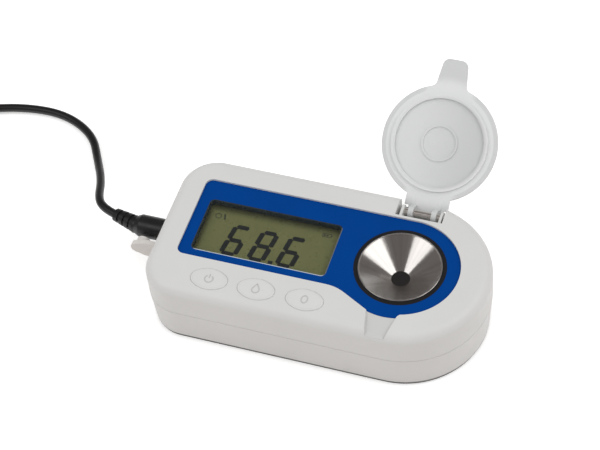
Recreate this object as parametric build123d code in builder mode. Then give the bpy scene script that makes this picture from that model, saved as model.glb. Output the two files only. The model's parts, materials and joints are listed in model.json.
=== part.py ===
from build123d import *
import math
import os

# Digital refractometer with its power lead, in millimetres.
# X runs from the display end to the sample well, Y away from the user, Z up.
# The origin is the middle of the flat base, on the bench.

# Body
body_length = 130.0
body_width = 66.4
body_height = 31.4
corner_radius = 14.4      # plan radius of the two corners at the display end
top_edge_radius = 4.0
base_edge_radius = 0.5
base_draft = 3.5          # degrees, the lower casing narrows towards the bench
plinth_height = 1.2       # the body stands on a low plinth, set back from its lower edge
plinth_setback = 0.6
seam_depth = 14.4         # from the body's top to the parting line
wall = 2.4
top_wall = 3.6
base_wall = 2.4
gasket_thickness = 0.5
gasket_width = 1.4
gasket_setback = 0.12     # the gasket lies this far inside the parting line

# Clearances
seat_gap = 0.05           # flat pieces that lie against each other
fit_gap = 0.15            # inlaid pieces, round their edges
plate_gap = 0.06          # the faceplate in its recess
key_gap = 0.2             # moving keys in their holes
running_gap = 0.06        # hinge pin in the lid's knuckles
pressed_gap = 0.02        # pins and screws in holes that grip them

# Casing screws, their bosses placed from the walls
boss_radius = 3.25
corner_boss_inset = (11.0, 10.2)
side_boss_inset = 7.0
back_boss_offset = -27.1  # from the well's middle
front_boss_offset = 13.3  # from the last key's middle
nose_boss_inset = 6.3
nose_boss_turn = 38.0     # degrees to each side of the nose
screw_radius = 1.25
screw_head_radius = 2.3
screw_head_height = 1.8
screw_seat_height = 6.0
screw_end_gap = 3.8       # from the screws' tips to the ceiling
screw_drive_radius = 0.75
screw_drive_depth = 0.9

# Faceplate, display window and display
face_step = 0.8           # the faceplate lies this far below the casing's top
face_thickness = 1.0
face_left_border = 10.4   # from the casing's left end
face_front_border = 18.0  # from the casing's front
face_nose_border = 10.9   # round the well's end, from the casing's side
face_corner = 3.0
face_circle_offset = 0.5  # the plate's round end lies this far beyond the well's middle
face_bend_offset = -20.5  # from the well's middle, where the plate widens
face_bend_radius = 16.0
window_left_border = 4.45
window_right_border = 8.55
window_front_border = 3.5
window_back_border = 8.9
window_corner = 2.0
pane_margin = 1.6
pane_thickness = 1.0
display_margin = 1.65     # the display reaches this far beyond the window
display_thickness = 2.8
display_gap = 0.1
display_ledge = 1.6
frame_wall = 1.0
contact_strip_width = 1.6

# Sample well
well_offset = 1.7         # the well lies this far before the middle of the body's round nose
well_radius = 16.0
well_rim_height = 0.3     # the steel rim stands this far above the faceplate
well_lip = 0.5
prism_top = 23.2          # above the bench, so that the well's depth follows
well_skirt = 3.0          # straight outer band under the rim
well_wall = 2.2
well_collar_radius = 9.0
throat_radius = 3.6
ring_width = 1.6
ring_height = 3.2
seal_depth = 1.0

# Drain slot from the faceplate to the front edge
slot_offset = -0.7        # from the well's middle
slot_mouth_half = 5.65
slot_end_half = 3.5
slot_flare = 0.4          # the slot is this much wider at its top, on each side
slot_mouth_reach = 1.2    # the faceplate's lobe across the mouth stands this far past its round end
slot_end_drop = 2.1       # how far the slot's outer end lies below the casing's top

# Lid and hinge
hinge_offset = 0.85       # from the well's middle
hinge_inset = 4.8         # from the casing's back
hinge_depth = 3.4         # below the casing's top
lid_open_angle = 144.0
lid_border = 10.4         # from the shut lid's edge to the casing's sides
lid_thickness = 1.8
lid_rise = 0.2            # gap over the casing when the lid is shut
lid_edge_radius = 0.6
lid_rib_inset = 4.6
lid_rib_width = 1.6
lid_rib_height = 1.0
lid_boss_radius = 7.2
lid_boss_height = 0.4
tab_length = 10.2
tab_root_half = 6.3
tab_tip_half = 4.7
tab_corner = 2.8
tab_blend = 2.2
neck_half = 8.6
neck_throat_half = 6.9    # the neck narrows to this between the casing's ears
neck_throat_length = 2.75
neck_tail = 1.0           # the neck runs this far behind the hinge pin
neck_tail_radius = 2.0
knuckle_radius = 2.2
knuckle_inner = 3.6
knuckle_width = 2.0
pin_radius = 1.2
ear_gap = 0.3
ear_width = 1.0
ear_radius = 2.4
pocket_left_gap = 1.0     # between the neck's wide part and the pocket's end walls
pocket_right_gap = 0.4
pocket_front = 5.0        # from the pin's axis to the pocket's front wall
pocket_floor_gap = 0.35
pocket_wall = 1.8
stop_gap = 0.25

# Keys and the switches under them
key_places = [16.9, 35.6, 54.7]  # from the faceplate's left edge
key_border = 8.9          # from the keys' middles to the casing's front
key_length = 15.0
key_breadth = 10.0
key_end_radius = 3.7
key_rise = 0.3
key_edge_radius = 0.5
key_flange = 1.0
key_flange_height = 1.0
key_stem_radius = 1.8
key_travel = 0.5
switch_size = 6.0
switch_body_height = 3.5
switch_height = 4.0
switch_plunger_radius = 1.6

# Main board
board_depth = 9.8         # from the casing's top
board_thickness = 1.6
board_left_border = 7.6
board_right_border = 18.5  # from the well's middle
board_front_border = 5.2
board_back_border = 14.8
board_notch_gap = 0.7
standoff_radius = 2.2
standoff_inset = (1.4, 2.4)  # from the board's left and right ends
standoff_y = (-8.0, 12.0)
small_screw_radius = 0.9
small_head_radius = 1.8
small_head_height = 1.3
small_screw_length = 6.0
chips = [(17.4, -6.0, 12.0, 12.0, 1.6), (39.4, -8.0, 8.0, 6.0, 1.4), (37.4, 8.0, 5.0, 9.0, 2.4),
         (11.4, 11.0, 7.0, 4.0, 3.2)]  # place from the board's left end, length, breadth and height
lead_socket = (9.6, 6.0, 4.0, 12.0, 4.0)  # the same, from the board's right end

# Optics under the well
block_plate = 36.0
block_plate_height = 3.0
block_length = 27.0
block_breadth = 20.0
block_height = 12.0
post_spacing = 31.0
post_radius = 2.4
prism_length = 12.0
prism_breadth = 8.0
prism_base = 6.0
prism_height = 4.1
prism_neck = 3.3          # the prism's round top stands this far above its base
beam_angle = 35.0         # the two light paths slope down from the prism
lamp_radius = 2.5
lamp_length = 7.0
lens_thickness = 1.8
beam_radius = 1.6
lamp_start = 8.0          # along its light path from the prism
sensor_start = 12.0       # the same, to the sensor's face
sensor_board_length = 18.0
sensor_board_breadth = 11.0
sensor_board_thickness = 1.2
sensor_length = 4.0
sensor_breadth = 9.0
sensor_height = 1.4
probe_radius = 1.2
probe_length = 5.0
probe_y = 7.2

# Battery and its compartment
pocket_size = (38.0, 28.0)
pocket_jack_gap = 1.25    # between the compartment's wall and the power jack
battery_gap = 1.0         # between the pack and its pocket, all round
battery_height = 7.1
pad_thickness = 1.25
compartment_wall = 1.6
cover_border = (6.0, 3.0)  # the cover reaches this far beyond the pocket
cover_thickness = 1.5
cover_corner = 3.0
cover_rib_height = 0.9
cover_gasket_thickness = 0.5
cover_gasket_width = 1.2
cover_ledge_height = 2.4
cover_screw_offset = 3.5  # from the pocket's ends
cover_screw_radius = 0.95
cover_head_radius = 1.8
cover_head_height = 0.8
cover_screw_length = 4.6
cover_boss_height = 8.0
contact_spacing = 6.0
contact_size = (0.8, 3.0, 5.0)

# Power port at the display end
port_y = 6.9
port_drop = 5.0           # from the parting line down to the port's middle
port_hole_radius = 3.2
port_block_front = -7.0
port_block_back = 14.0
port_block_depth = 1.9
port_recess_depth = 0.8
port_recess_half_height = 4.2
jack_length = 10.8
jack_side = 9.0
jack_pin_radius = 0.95
cradle_wall = 1.1
cradle_drop = 3.0         # from the parting line down to the cradle's top

# Rubber flap that covers the port when the lead is out
flap_y = -3.2
flap_length = 14.2
flap_half_height = 4.0
flap_root_half_height = 3.3
flap_thickness = 2.0
flap_neck_thickness = 1.0
flap_neck_length = 2.2
flap_hinge_offset = 0.9   # the flap's bead lies this far outside the wall
flap_bead_radius = 0.8
flap_strap_thickness = 2.2
flap_strap_length = 4.3
flap_boss_radius = 2.7
flap_boss_height = 2.4

# Power lead
plug_radius = 4.6
plug_length = 14.5
plug_taper_length = 2.1
plug_tail_radius = 3.6
barrel_radius = 2.75
barrel_length = 9.5
barrel_bore_radius = 1.03
relief_length = 10.2
relief_radius = 3.55
relief_tip_radius = 2.65
relief_turn = 15.0        # degrees, the relief points this far back from the plug's axis
relief_slots = 3
relief_slot_width = 1.0
relief_slot_depth = 0.7
cord_diameter = 3.5
coil_pitch = 3.95         # from one turn of the coil to the next, beside it or on it
coil_outer_radius = 26.8  # to the cord's middle
coil_turns_in = 3
coil_center = (-189.0, 29.2)
tie_width = 6.0
tie_thickness = 0.6
tie_gap = 0.12
usb_relief_length = 8.0
usb_relief_radius = 3.0
usb_body = (15.6, 20.0, 8.6)
usb_body_edge = 1.6
usb_shell = (12.0, 12.0, 4.5)
usb_shell_wall = 0.4
usb_tongue_height = 1.8
usb_window = 2.4
usb_window_spacing = 5.6

# Heights that follow from the driving dimensions
seam_height = body_height - seam_depth
seam_top = seam_height + gasket_thickness / 2
seam_bottom = seam_height - gasket_thickness / 2
ceiling = body_height - top_wall
face_top = body_height - face_step
face_bottom = face_top - face_thickness
pane_bottom = face_bottom - pane_thickness
display_top = ceiling - display_gap
display_bottom = display_top - display_thickness
board_top = body_height - board_depth
board_bottom = board_top - board_thickness
block_top = prism_top - prism_neck
beam_top = block_top - prism_height + 1.0
port_z = seam_height - port_drop
cradle_height = seam_height - cradle_drop
battery_bottom = cover_thickness + cover_rib_height + seat_gap
pad_bottom = battery_bottom + battery_height + seat_gap
pocket_roof = pad_bottom + pad_thickness + seat_gap
hinge_z = body_height - hinge_depth
lid_face = body_height + lid_rise
neck_top = lid_face + lid_thickness

# Places in plan that follow from them
wall_x = -body_length / 2
end_x = body_length / 2 - body_width / 2
well_x = end_x - well_offset
slot_x = well_x + slot_offset
hinge_x = well_x + hinge_offset
hinge_y = body_width / 2 - hinge_inset
ring_radius = well_radius + ring_width
face_left = wall_x + face_left_border
face_front = -body_width / 2 + face_front_border
face_circle_x = well_x + face_circle_offset
face_circle_radius = body_width / 2 - face_nose_border
face_bend = (well_x + face_bend_offset, face_front)
slot_mouth_radius = face_circle_radius + slot_mouth_reach
window_left = face_left + window_left_border
window_right = well_x - ring_radius - window_right_border
window_front = face_front + window_front_border
window_back = face_circle_radius - window_back_border
window_center = ((window_left + window_right) / 2, (window_front + window_back) / 2)
window_size = (window_right - window_left, window_back - window_front)
display_size = [side + 2 * display_margin for side in window_size]
key_x = [face_left + place for place in key_places]
key_y = -body_width / 2 + key_border
board_left = wall_x + board_left_border
board_right = well_x - board_right_border
board_front = -body_width / 2 + board_front_border
board_back = body_width / 2 - board_back_border
standoff_points = [(x, y) for x in (board_left + standoff_inset[0], board_right - standoff_inset[1])
                   for y in standoff_y]
post_points = [(well_x + sx * post_spacing / 2, sy * post_spacing / 2) for sx in (-1, 1) for sy in (-1, 1)]
lid_radius = body_width / 2 - lid_border
lid_rib_radius = lid_radius - lid_rib_inset
port_inner_x = wall_x + wall + port_block_depth
jack_front_x = port_inner_x + seat_gap
pocket_left_x = jack_front_x + jack_length + pocket_jack_gap + compartment_wall
battery_x = pocket_left_x + pocket_size[0] / 2
battery_size = [side - 2 * battery_gap for side in pocket_size]
cover_size = [side + 2 * border for side, border in zip(pocket_size, cover_border)]
cover_screw_x = pocket_size[0] / 2 + cover_screw_offset
cover_screw_points = [(battery_x - cover_screw_x, 0), (battery_x + cover_screw_x, 0)]
corner_boss_x = wall_x + corner_boss_inset[0]
nose_boss_reach = body_width / 2 - nose_boss_inset
nose_boss_angle = math.radians(nose_boss_turn)
boss_points = [(well_x + back_boss_offset, body_width / 2 - side_boss_inset),
               (key_x[-1] + front_boss_offset, -body_width / 2 + side_boss_inset)]
for side in (-1, 1):
    boss_points.append((corner_boss_x, side * (body_width / 2 - corner_boss_inset[1])))
    boss_points.append((end_x + nose_boss_reach * math.cos(nose_boss_angle),
                        side * nose_boss_reach * math.sin(nose_boss_angle)))
boss_height = ceiling - seam_height
screw_length = ceiling - screw_end_gap - screw_seat_height

os.makedirs("parts", exist_ok=True)


def save(piece, name):
    piece.part.label = name
    export_step(piece.part, f"parts/{name}.step")


def casing_outline(inset):
    """Plan outline of the body, drawn in by inset."""
    half = body_width / 2 - inset
    left = -body_length / 2 + inset
    with BuildSketch() as outline:
        with Locations(((left + end_x) / 2, 0)):
            Rectangle(end_x - left, 2 * half)
        fillet(outline.vertices().sort_by(Axis.X)[:2], corner_radius - inset)
        with Locations((end_x, 0)):
            Circle(half)
    return outline.sketch


def oval(length, breadth):
    """Key outline of four tangent arcs, which keeps its form when it grows or shrinks all round."""
    end = key_end_radius + (length - key_length) / 2
    half_x = length / 2
    half_y = breadth / 2
    center_x = half_x - end
    side = (center_x ** 2 + half_y ** 2 - end ** 2) / (2 * (half_y - end))
    meet_x = center_x + end * center_x / (side - end)
    meet_y = end * (side - half_y) / (side - end)
    with BuildSketch() as outline:
        with BuildLine():
            ThreePointArc((meet_x, -meet_y), (half_x, 0), (meet_x, meet_y))
            ThreePointArc((meet_x, meet_y), (0, half_y), (-meet_x, meet_y))
            ThreePointArc((-meet_x, meet_y), (-half_x, 0), (-meet_x, -meet_y))
            ThreePointArc((-meet_x, -meet_y), (0, -half_y), (meet_x, -meet_y))
        make_face()
    return outline.sketch


def face_outline(grow):
    """Plan outline of the faceplate, grown all round by grow, with its lobe across the slot's mouth."""
    circle_radius = face_circle_radius + grow
    mouth_radius = slot_mouth_radius + grow
    mouth_right = slot_x + slot_mouth_half + grow
    mouth_left = slot_x - slot_mouth_half - grow
    right_y = -math.sqrt(mouth_radius ** 2 - (mouth_right - well_x) ** 2)
    left_y = -math.sqrt(mouth_radius ** 2 - (mouth_left - well_x) ** 2)
    shoulder_x = mouth_right + 1.0
    shoulder_y = -math.sqrt(circle_radius ** 2 - (shoulder_x - face_circle_x) ** 2)
    with BuildSketch() as outline:
        with BuildLine():
            ThreePointArc((face_circle_x, circle_radius), (face_circle_x + circle_radius, 0),
                          (shoulder_x, shoulder_y))
            Line((shoulder_x, shoulder_y), (mouth_right, right_y))
            ThreePointArc((mouth_right, right_y), (well_x, -mouth_radius), (mouth_left, left_y))
            Polyline((mouth_left, left_y), (face_bend[0], face_bend[1] - grow),
                     (face_left - grow, face_front - grow), (face_left - grow, circle_radius),
                     (face_circle_x, circle_radius))
        make_face()
        fillet(outline.vertices().group_by(Axis.X)[0], face_corner + grow)
        fillet(outline.vertices().sort_by_distance(face_bend)[0], face_bend_radius)
        fillet(outline.vertices().sort_by_distance((mouth_left, left_y))[0], 1.5)
    return outline.sketch


def screw(radius, length, head_radius, head_height):
    """Pan-head screw that points up, with its head's underside at the plane it is placed on."""
    Cylinder(radius, length, align=(Align.CENTER, Align.CENTER, Align.MIN))
    Cylinder(head_radius, head_height, align=(Align.CENTER, Align.CENTER, Align.MAX))


# The upper casing: the top, its side walls and everything moulded under them
swing = max(math.hypot(neck_tail, neck_top - hinge_z), neck_top - hinge_z + 0.3)
pocket_floor = hinge_z - swing - pocket_floor_gap + lid_thickness / 2
pocket_left = hinge_x - neck_half - pocket_left_gap
pocket_right = hinge_x + neck_half + pocket_right_gap
slot_mouth_y = -slot_mouth_radius + 1.2
pocket_front_y = hinge_y - pocket_front
open_turn = math.radians(lid_open_angle)
stop_offset = neck_top - hinge_z + stop_gap
stop_y = hinge_y + stop_offset * math.sin(open_turn)
stop_z = hinge_z + stop_offset * math.cos(open_turn)
stop_slope = math.tan(math.pi - open_turn)
back_y = body_width / 2 + 1.0

with BuildPart() as upper_casing:
    with BuildSketch(Plane.XY.offset(seam_top)):
        add(casing_outline(0))
    extrude(amount=body_height - seam_top)
    fillet(upper_casing.faces().sort_by(Axis.Z)[-1].edges(), top_edge_radius)
    with BuildSketch(Plane.XY.offset(seam_top)):
        add(casing_outline(wall))
    extrude(amount=ceiling - seam_top, mode=Mode.SUBTRACT)
    # closed box under the hinge pocket
    box_front = pocket_front_y - pocket_wall
    box_back = body_width / 2 - wall / 2
    with BuildSketch(Plane.XY.offset(pocket_floor - pocket_wall)):
        with Locations(((pocket_left + pocket_right) / 2, (box_front + box_back) / 2)):
            Rectangle(pocket_right - pocket_left + 2 * pocket_wall, box_back - box_front)
    extrude(amount=ceiling - pocket_floor + pocket_wall)
    # casing screw bosses, board standoffs and optics posts
    with Locations(*[(x, y, seam_height) for x, y in boss_points]):
        Cylinder(boss_radius, boss_height, align=(Align.CENTER, Align.CENTER, Align.MIN))
    with Locations(*[(x, y, board_top) for x, y in standoff_points]):
        Cylinder(standoff_radius, ceiling - board_top, align=(Align.CENTER, Align.CENTER, Align.MIN))
    with Locations(*[(x, y, block_top) for x, y in post_points]):
        Cylinder(post_radius, ceiling - block_top, align=(Align.CENTER, Align.CENTER, Align.MIN))
    with Locations(*[(x, y, seam_height) for x, y in boss_points]):
        Cylinder(screw_radius + pressed_gap, boss_height, align=(Align.CENTER, Align.CENTER, Align.MIN),
                 mode=Mode.SUBTRACT)
    with Locations(*[(x, y, board_top) for x, y in standoff_points],
                   *[(x, y, block_top) for x, y in post_points]):
        Cylinder(small_screw_radius + pressed_gap, small_screw_length, mode=Mode.SUBTRACT,
                 align=(Align.CENTER, Align.CENTER, Align.MIN))
    # recess for the faceplate, step for the window pane and the openings through the top
    with BuildSketch(Plane.XY.offset(face_bottom)):
        add(face_outline(plate_gap))
    extrude(amount=body_height - face_bottom, mode=Mode.SUBTRACT)
    with BuildSketch(Plane.XY.offset(pane_bottom)):
        with Locations(window_center):
            RectangleRounded(window_size[0] + 2 * (pane_margin + fit_gap),
                             window_size[1] + 2 * (pane_margin + fit_gap),
                             window_corner + pane_margin)
    extrude(amount=pane_thickness, mode=Mode.SUBTRACT)
    with BuildSketch(Plane.XY.offset(ceiling)):
        with Locations(window_center):
            RectangleRounded(*window_size, window_corner)
        with Locations((well_x, 0)):
            Circle(ring_radius + seat_gap)
        for x in key_x:
            add(oval(key_length, key_breadth).moved(Location((x, key_y, 0))))
    extrude(amount=top_wall, mode=Mode.SUBTRACT)
    # drain slot, sloping down to the front edge
    for place, half, floor in ((slot_mouth_y, slot_mouth_half, face_top),
                               (-body_width / 2, slot_end_half, body_height - slot_end_drop)):
        with BuildSketch(Plane((0, place, 0), x_dir=(1, 0, 0), z_dir=(0, -1, 0))):
            with BuildLine():
                Polyline((slot_x - half, floor), (slot_x - half - slot_flare, body_height + 0.1),
                         (slot_x + half + slot_flare, body_height + 0.1), (slot_x + half, floor),
                         close=True)
            make_face()
    loft(ruled=True, mode=Mode.SUBTRACT)
    # hinge pocket, open at the back, with the ramp that stops the lid
    with BuildSketch(Plane.YZ.offset(pocket_left)):
        with BuildLine():
            Polyline((pocket_front_y, pocket_floor),
                     (stop_y + (pocket_floor - stop_z) / stop_slope, pocket_floor),
                     (back_y, stop_z + (back_y - stop_y) * stop_slope), (back_y, body_height + 1.0),
                     (pocket_front_y, body_height + 1.0), close=True)
        make_face()
    extrude(amount=pocket_right - pocket_left, mode=Mode.SUBTRACT)
    # two thin ears that carry the hinge pin
    for side in (-1, 1):
        ear_start = hinge_x + side * (neck_throat_half + ear_gap) - (ear_width if side < 0 else 0)
        with BuildSketch(Plane.YZ.offset(ear_start)):
            with Locations((hinge_y, hinge_z)):
                Circle(ear_radius)
            with BuildLine():
                Polyline((pocket_front_y - seat_gap, pocket_floor - seat_gap),
                         (hinge_y + ear_radius, pocket_floor - seat_gap),
                         (hinge_y + ear_radius, hinge_z), (hinge_y, hinge_z + ear_radius),
                         (pocket_front_y - seat_gap, hinge_z + ear_radius), close=True)
            make_face()
            with Locations((hinge_y, hinge_z)):
                Circle(pin_radius + pressed_gap, mode=Mode.SUBTRACT)
        extrude(amount=ear_width)
save(upper_casing, "upper_casing")

# The lower casing: base, side walls, battery compartment and port
recess_floor_x = wall_x + port_recess_depth
ledge_z = cover_thickness + cover_gasket_thickness
flap_x = wall_x - flap_hinge_offset
plinth_inset = plinth_setback + (seam_bottom - plinth_height) * math.tan(math.radians(base_draft))

with BuildPart() as lower_casing:
    with BuildSketch(Plane.XY.offset(seam_bottom)):
        add(casing_outline(0))
    extrude(amount=plinth_height - seam_bottom, taper=base_draft)
    fillet(lower_casing.faces().sort_by(Axis.Z)[0].edges(), base_edge_radius)
    with BuildSketch(Plane.XY):
        add(casing_outline(plinth_inset))
    extrude(amount=plinth_height + seat_gap)
    with BuildSketch(Plane.XY.offset(seam_bottom)):
        add(casing_outline(wall))
    extrude(amount=base_wall - seam_bottom, taper=base_draft, mode=Mode.SUBTRACT)
    # battery compartment, its rebate for the cover and the bosses of the cover's screws
    with BuildSketch(Plane.XY):
        with Locations((battery_x, 0)):
            Rectangle(cover_size[0] + 2 * compartment_wall, cover_size[1] + 2 * compartment_wall)
    extrude(amount=ledge_z + cover_ledge_height)
    with BuildSketch(Plane.XY):
        with Locations((battery_x, 0)):
            Rectangle(pocket_size[0] + 2 * compartment_wall, pocket_size[1] + 2 * compartment_wall)
    extrude(amount=pocket_roof + compartment_wall)
    with Locations(*cover_screw_points):
        Cylinder(cover_head_radius + 1.0, cover_boss_height, align=(Align.CENTER, Align.CENTER, Align.MIN))
    # port block behind the left wall and the jack's cradle
    with BuildSketch(Plane.XY.offset(base_wall)):
        with Locations(((wall_x + wall / 2 + port_inner_x) / 2 + 0.5,
                        (port_block_front + port_block_back) / 2)):
            Rectangle(port_inner_x - wall_x - wall / 2 - 1.0, port_block_back - port_block_front)
    extrude(amount=seam_bottom - base_wall)
    with BuildSketch(Plane.XY.offset(base_wall)):
        with Locations((jack_front_x + jack_length / 2, port_y)):
            Rectangle(jack_length, jack_side + 2 * cradle_wall)
    extrude(amount=cradle_height - base_wall)
    with Locations((jack_front_x, port_y, port_z)):
        Box(jack_length + 1.0, jack_side + 2 * seat_gap, jack_side + 2 * seat_gap, mode=Mode.SUBTRACT,
            align=(Align.MIN, Align.CENTER, Align.CENTER))
    # casing screw bosses with their head wells
    with Locations(*boss_points):
        Cylinder(boss_radius, seam_height, align=(Align.CENTER, Align.CENTER, Align.MIN))
    with Locations(*boss_points):
        Cylinder(screw_radius + pressed_gap, seam_height, mode=Mode.SUBTRACT,
                 align=(Align.CENTER, Align.CENTER, Align.MIN))
        Cylinder(screw_head_radius + fit_gap, screw_seat_height, mode=Mode.SUBTRACT,
                 align=(Align.CENTER, Align.CENTER, Align.MIN))
    # openings: battery pocket, cover rebate, cover screw holes
    with BuildSketch(Plane.XY):
        with Locations((battery_x, 0)):
            Rectangle(*pocket_size)
    extrude(amount=pocket_roof, mode=Mode.SUBTRACT)
    with BuildSketch(Plane.XY):
        with Locations((battery_x, 0)):
            RectangleRounded(*cover_size, cover_corner)
    extrude(amount=ledge_z, mode=Mode.SUBTRACT)
    with Locations(*[(x, y, ledge_z) for x, y in cover_screw_points]):
        Cylinder(cover_screw_radius + pressed_gap, cover_screw_length, mode=Mode.SUBTRACT,
                 align=(Align.CENTER, Align.CENTER, Align.MIN))
    # port opening, the shallow seat of the flap and the slot of its strap
    with BuildSketch(Plane.YZ.offset(wall_x - 1.0)):
        with Locations(((flap_y + port_y + flap_boss_radius + 2.4) / 2 + 0.8, port_z)):
            RectangleRounded(port_y + flap_boss_radius + 2.4 - flap_y, 2 * port_recess_half_height, 2.0)
    extrude(amount=1.0 + port_recess_depth, mode=Mode.SUBTRACT)
    with BuildSketch(Plane.YZ.offset(wall_x - 1.0)):
        with Locations((port_y, port_z)):
            Circle(port_hole_radius)
    extrude(amount=port_inner_x - wall_x + 2.0, mode=Mode.SUBTRACT)
    with BuildSketch(Plane.YZ.offset(wall_x - 1.0)):
        with Locations((flap_y, port_z)):
            Rectangle(flap_strap_thickness + 2 * seat_gap, 2 * (flap_root_half_height + seat_gap))
    extrude(amount=flap_strap_length - flap_hinge_offset + 1.0, mode=Mode.SUBTRACT)
save(lower_casing, "lower_casing")

with BuildPart() as casing_gasket:
    with BuildSketch(Plane.XY.offset(seam_bottom)):
        add(casing_outline(gasket_setback))
        add(casing_outline(gasket_setback + gasket_width), mode=Mode.SUBTRACT)
    extrude(amount=gasket_thickness)
save(casing_gasket, "casing_gasket")

with BuildPart() as casing_screws:
    with Locations(*[(x, y, screw_seat_height) for x, y in boss_points]):
        screw(screw_radius, screw_length, screw_head_radius, screw_head_height)
    with Locations(*[(x, y, screw_seat_height - screw_head_height) for x, y in boss_points]):
        Cylinder(screw_drive_radius, screw_drive_depth, mode=Mode.SUBTRACT,
                 align=(Align.CENTER, Align.CENTER, Align.MIN))
save(casing_screws, "casing_screws")

# The faceplate with its round end, its drain lip and its two openings
with BuildPart() as faceplate:
    with BuildSketch(Plane.XY.offset(face_bottom)):
        add(face_outline(0))
        with Locations(window_center):
            RectangleRounded(*window_size, window_corner, mode=Mode.SUBTRACT)
        with Locations((well_x, 0)):
            Circle(ring_radius + seat_gap, mode=Mode.SUBTRACT)
    extrude(amount=face_thickness)
save(faceplate, "faceplate")

with BuildPart() as display_window:
    with BuildSketch(Plane.XY.offset(pane_bottom)):
        with Locations(window_center):
            RectangleRounded(window_size[0] + 2 * pane_margin, window_size[1] + 2 * pane_margin,
                             window_corner + pane_margin)
    extrude(amount=pane_thickness)
save(display_window, "display_window")

with BuildPart() as display_panel:
    with BuildSketch(Plane.XY.offset(display_bottom)):
        with Locations(window_center):
            Rectangle(*display_size)
    extrude(amount=display_thickness)
save(display_panel, "display_panel")

# The frame that holds the display over the board, with a ledge all round
frame_size = [side + 2 * (fit_gap + frame_wall) for side in display_size]
with BuildPart() as display_frame:
    with BuildSketch(Plane.XY.offset(board_top)):
        with Locations(window_center):
            Rectangle(*frame_size)
            Rectangle(display_size[0] - 2 * display_ledge, display_size[1] - 2 * display_ledge,
                      mode=Mode.SUBTRACT)
    extrude(amount=display_bottom - board_top)
    with BuildSketch(Plane.XY.offset(display_bottom)):
        with Locations(window_center):
            Rectangle(*frame_size)
            Rectangle(display_size[0] + 2 * fit_gap, display_size[1] + 2 * fit_gap, mode=Mode.SUBTRACT)
    extrude(amount=display_thickness / 2)
save(display_frame, "display_frame")

# Two rubber strips that connect the glass to the board
strip_offset = display_size[1] / 2 - display_ledge - contact_strip_width / 2 - fit_gap
with BuildPart() as contact_strips:
    with Locations((window_center[0], window_center[1] - strip_offset, board_top),
                   (window_center[0], window_center[1] + strip_offset, board_top)):
        Box(display_size[0] - 2 * display_ledge - 2 * fit_gap, contact_strip_width,
            display_bottom - board_top,
            align=(Align.CENTER, Align.CENTER, Align.MIN))
save(contact_strips, "contact_strips")

# The main board, its parts, its screws and the three key switches
with BuildPart() as main_board:
    with BuildSketch(Plane.XY.offset(board_bottom)):
        with Locations(((board_left + board_right) / 2, (board_front + board_back) / 2)):
            Rectangle(board_right - board_left, board_back - board_front)
        with Locations(*boss_points):
            Circle(boss_radius + board_notch_gap, mode=Mode.SUBTRACT)
        with Locations(*standoff_points):
            Circle(small_screw_radius + pressed_gap, mode=Mode.SUBTRACT)
    extrude(amount=board_thickness)
save(main_board, "main_board")

under_board = [(board_left + x, *rest) for x, *rest in chips]
under_board.append((board_right - lead_socket[0], *lead_socket[1:]))
with BuildPart() as board_chips:
    for x, y, length, breadth, height in under_board:
        with Locations((x, y, board_bottom)):
            Box(length, breadth, height, align=(Align.CENTER, Align.CENTER, Align.MAX))
save(board_chips, "board_chips")

with BuildPart() as board_screws:
    with Locations(*[(x, y, board_bottom) for x, y in standoff_points]):
        screw(small_screw_radius, small_screw_length, small_head_radius, small_head_height)
save(board_screws, "board_screws")

with BuildPart() as key_switches:
    with Locations(*[(x, key_y, board_top) for x in key_x]):
        Box(switch_size, switch_size, switch_body_height, align=(Align.CENTER, Align.CENTER, Align.MIN))
        Cylinder(switch_plunger_radius, switch_height, align=(Align.CENTER, Align.CENTER, Align.MIN))
save(key_switches, "key_switches")

# Three oval keys, each held up under the casing's top by its flange
key_flange_top = ceiling - seat_gap
key_bottom = board_top + switch_height + key_travel + seat_gap
for name, x in zip(("power_button", "measure_button", "adjust_button"), key_x):
    with BuildPart() as button:
        with BuildSketch(Plane.XY.offset(key_flange_top - key_flange_height)):
            flange = oval(key_length + 2 * key_flange, key_breadth + 2 * key_flange)
            add(flange.moved(Location((x, key_y, 0))))
        extrude(amount=key_flange_height)
        with BuildSketch(Plane.XY.offset(key_flange_top)):
            add(oval(key_length - 2 * key_gap, key_breadth - 2 * key_gap).moved(Location((x, key_y, 0))))
        extrude(amount=body_height + key_rise - key_flange_top)
        fillet(button.faces().sort_by(Axis.Z)[-1].edges(), key_edge_radius)
        with Locations((x, key_y, key_bottom)):
            Cylinder(key_stem_radius, key_flange_top - key_bottom,
                     align=(Align.CENTER, Align.CENTER, Align.MIN))
    save(button, name)

# The sample well: a turned steel cone with a straight rim and a collar on the optics block
rim_top = face_top + well_rim_height
cone_slope = (well_radius - well_lip - throat_radius) / (rim_top - prism_top)
collar_drop = (well_radius - well_collar_radius) / cone_slope
with BuildPart() as sample_well:
    with BuildSketch(Plane.XZ):
        with BuildLine():
            Polyline((throat_radius, block_top + seat_gap), (throat_radius, prism_top),
                     (well_radius - well_lip, rim_top), (well_radius, rim_top),
                     (well_radius, rim_top - well_skirt),
                     (well_collar_radius, rim_top - well_skirt - collar_drop),
                     (well_collar_radius, block_top + seat_gap), close=True)
        make_face()
    revolve(axis=Axis.Z)
    with Locations((0, 0, block_top)):
        Cylinder(throat_radius + ring_width, seal_depth, mode=Mode.SUBTRACT,
                 align=(Align.CENTER, Align.CENTER, Align.MIN))
sample_well.part.position = (well_x, 0, 0)
save(sample_well, "sample_well")

# The soft black ring between the steel rim and the casing
with BuildPart() as well_ring:
    with BuildSketch(Plane.XY.offset(face_top - ring_height)):
        with Locations((well_x, 0)):
            Circle(ring_radius)
            Circle(well_radius + pressed_gap, mode=Mode.SUBTRACT)
    extrude(amount=ring_height)
save(well_ring, "well_ring")

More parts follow.
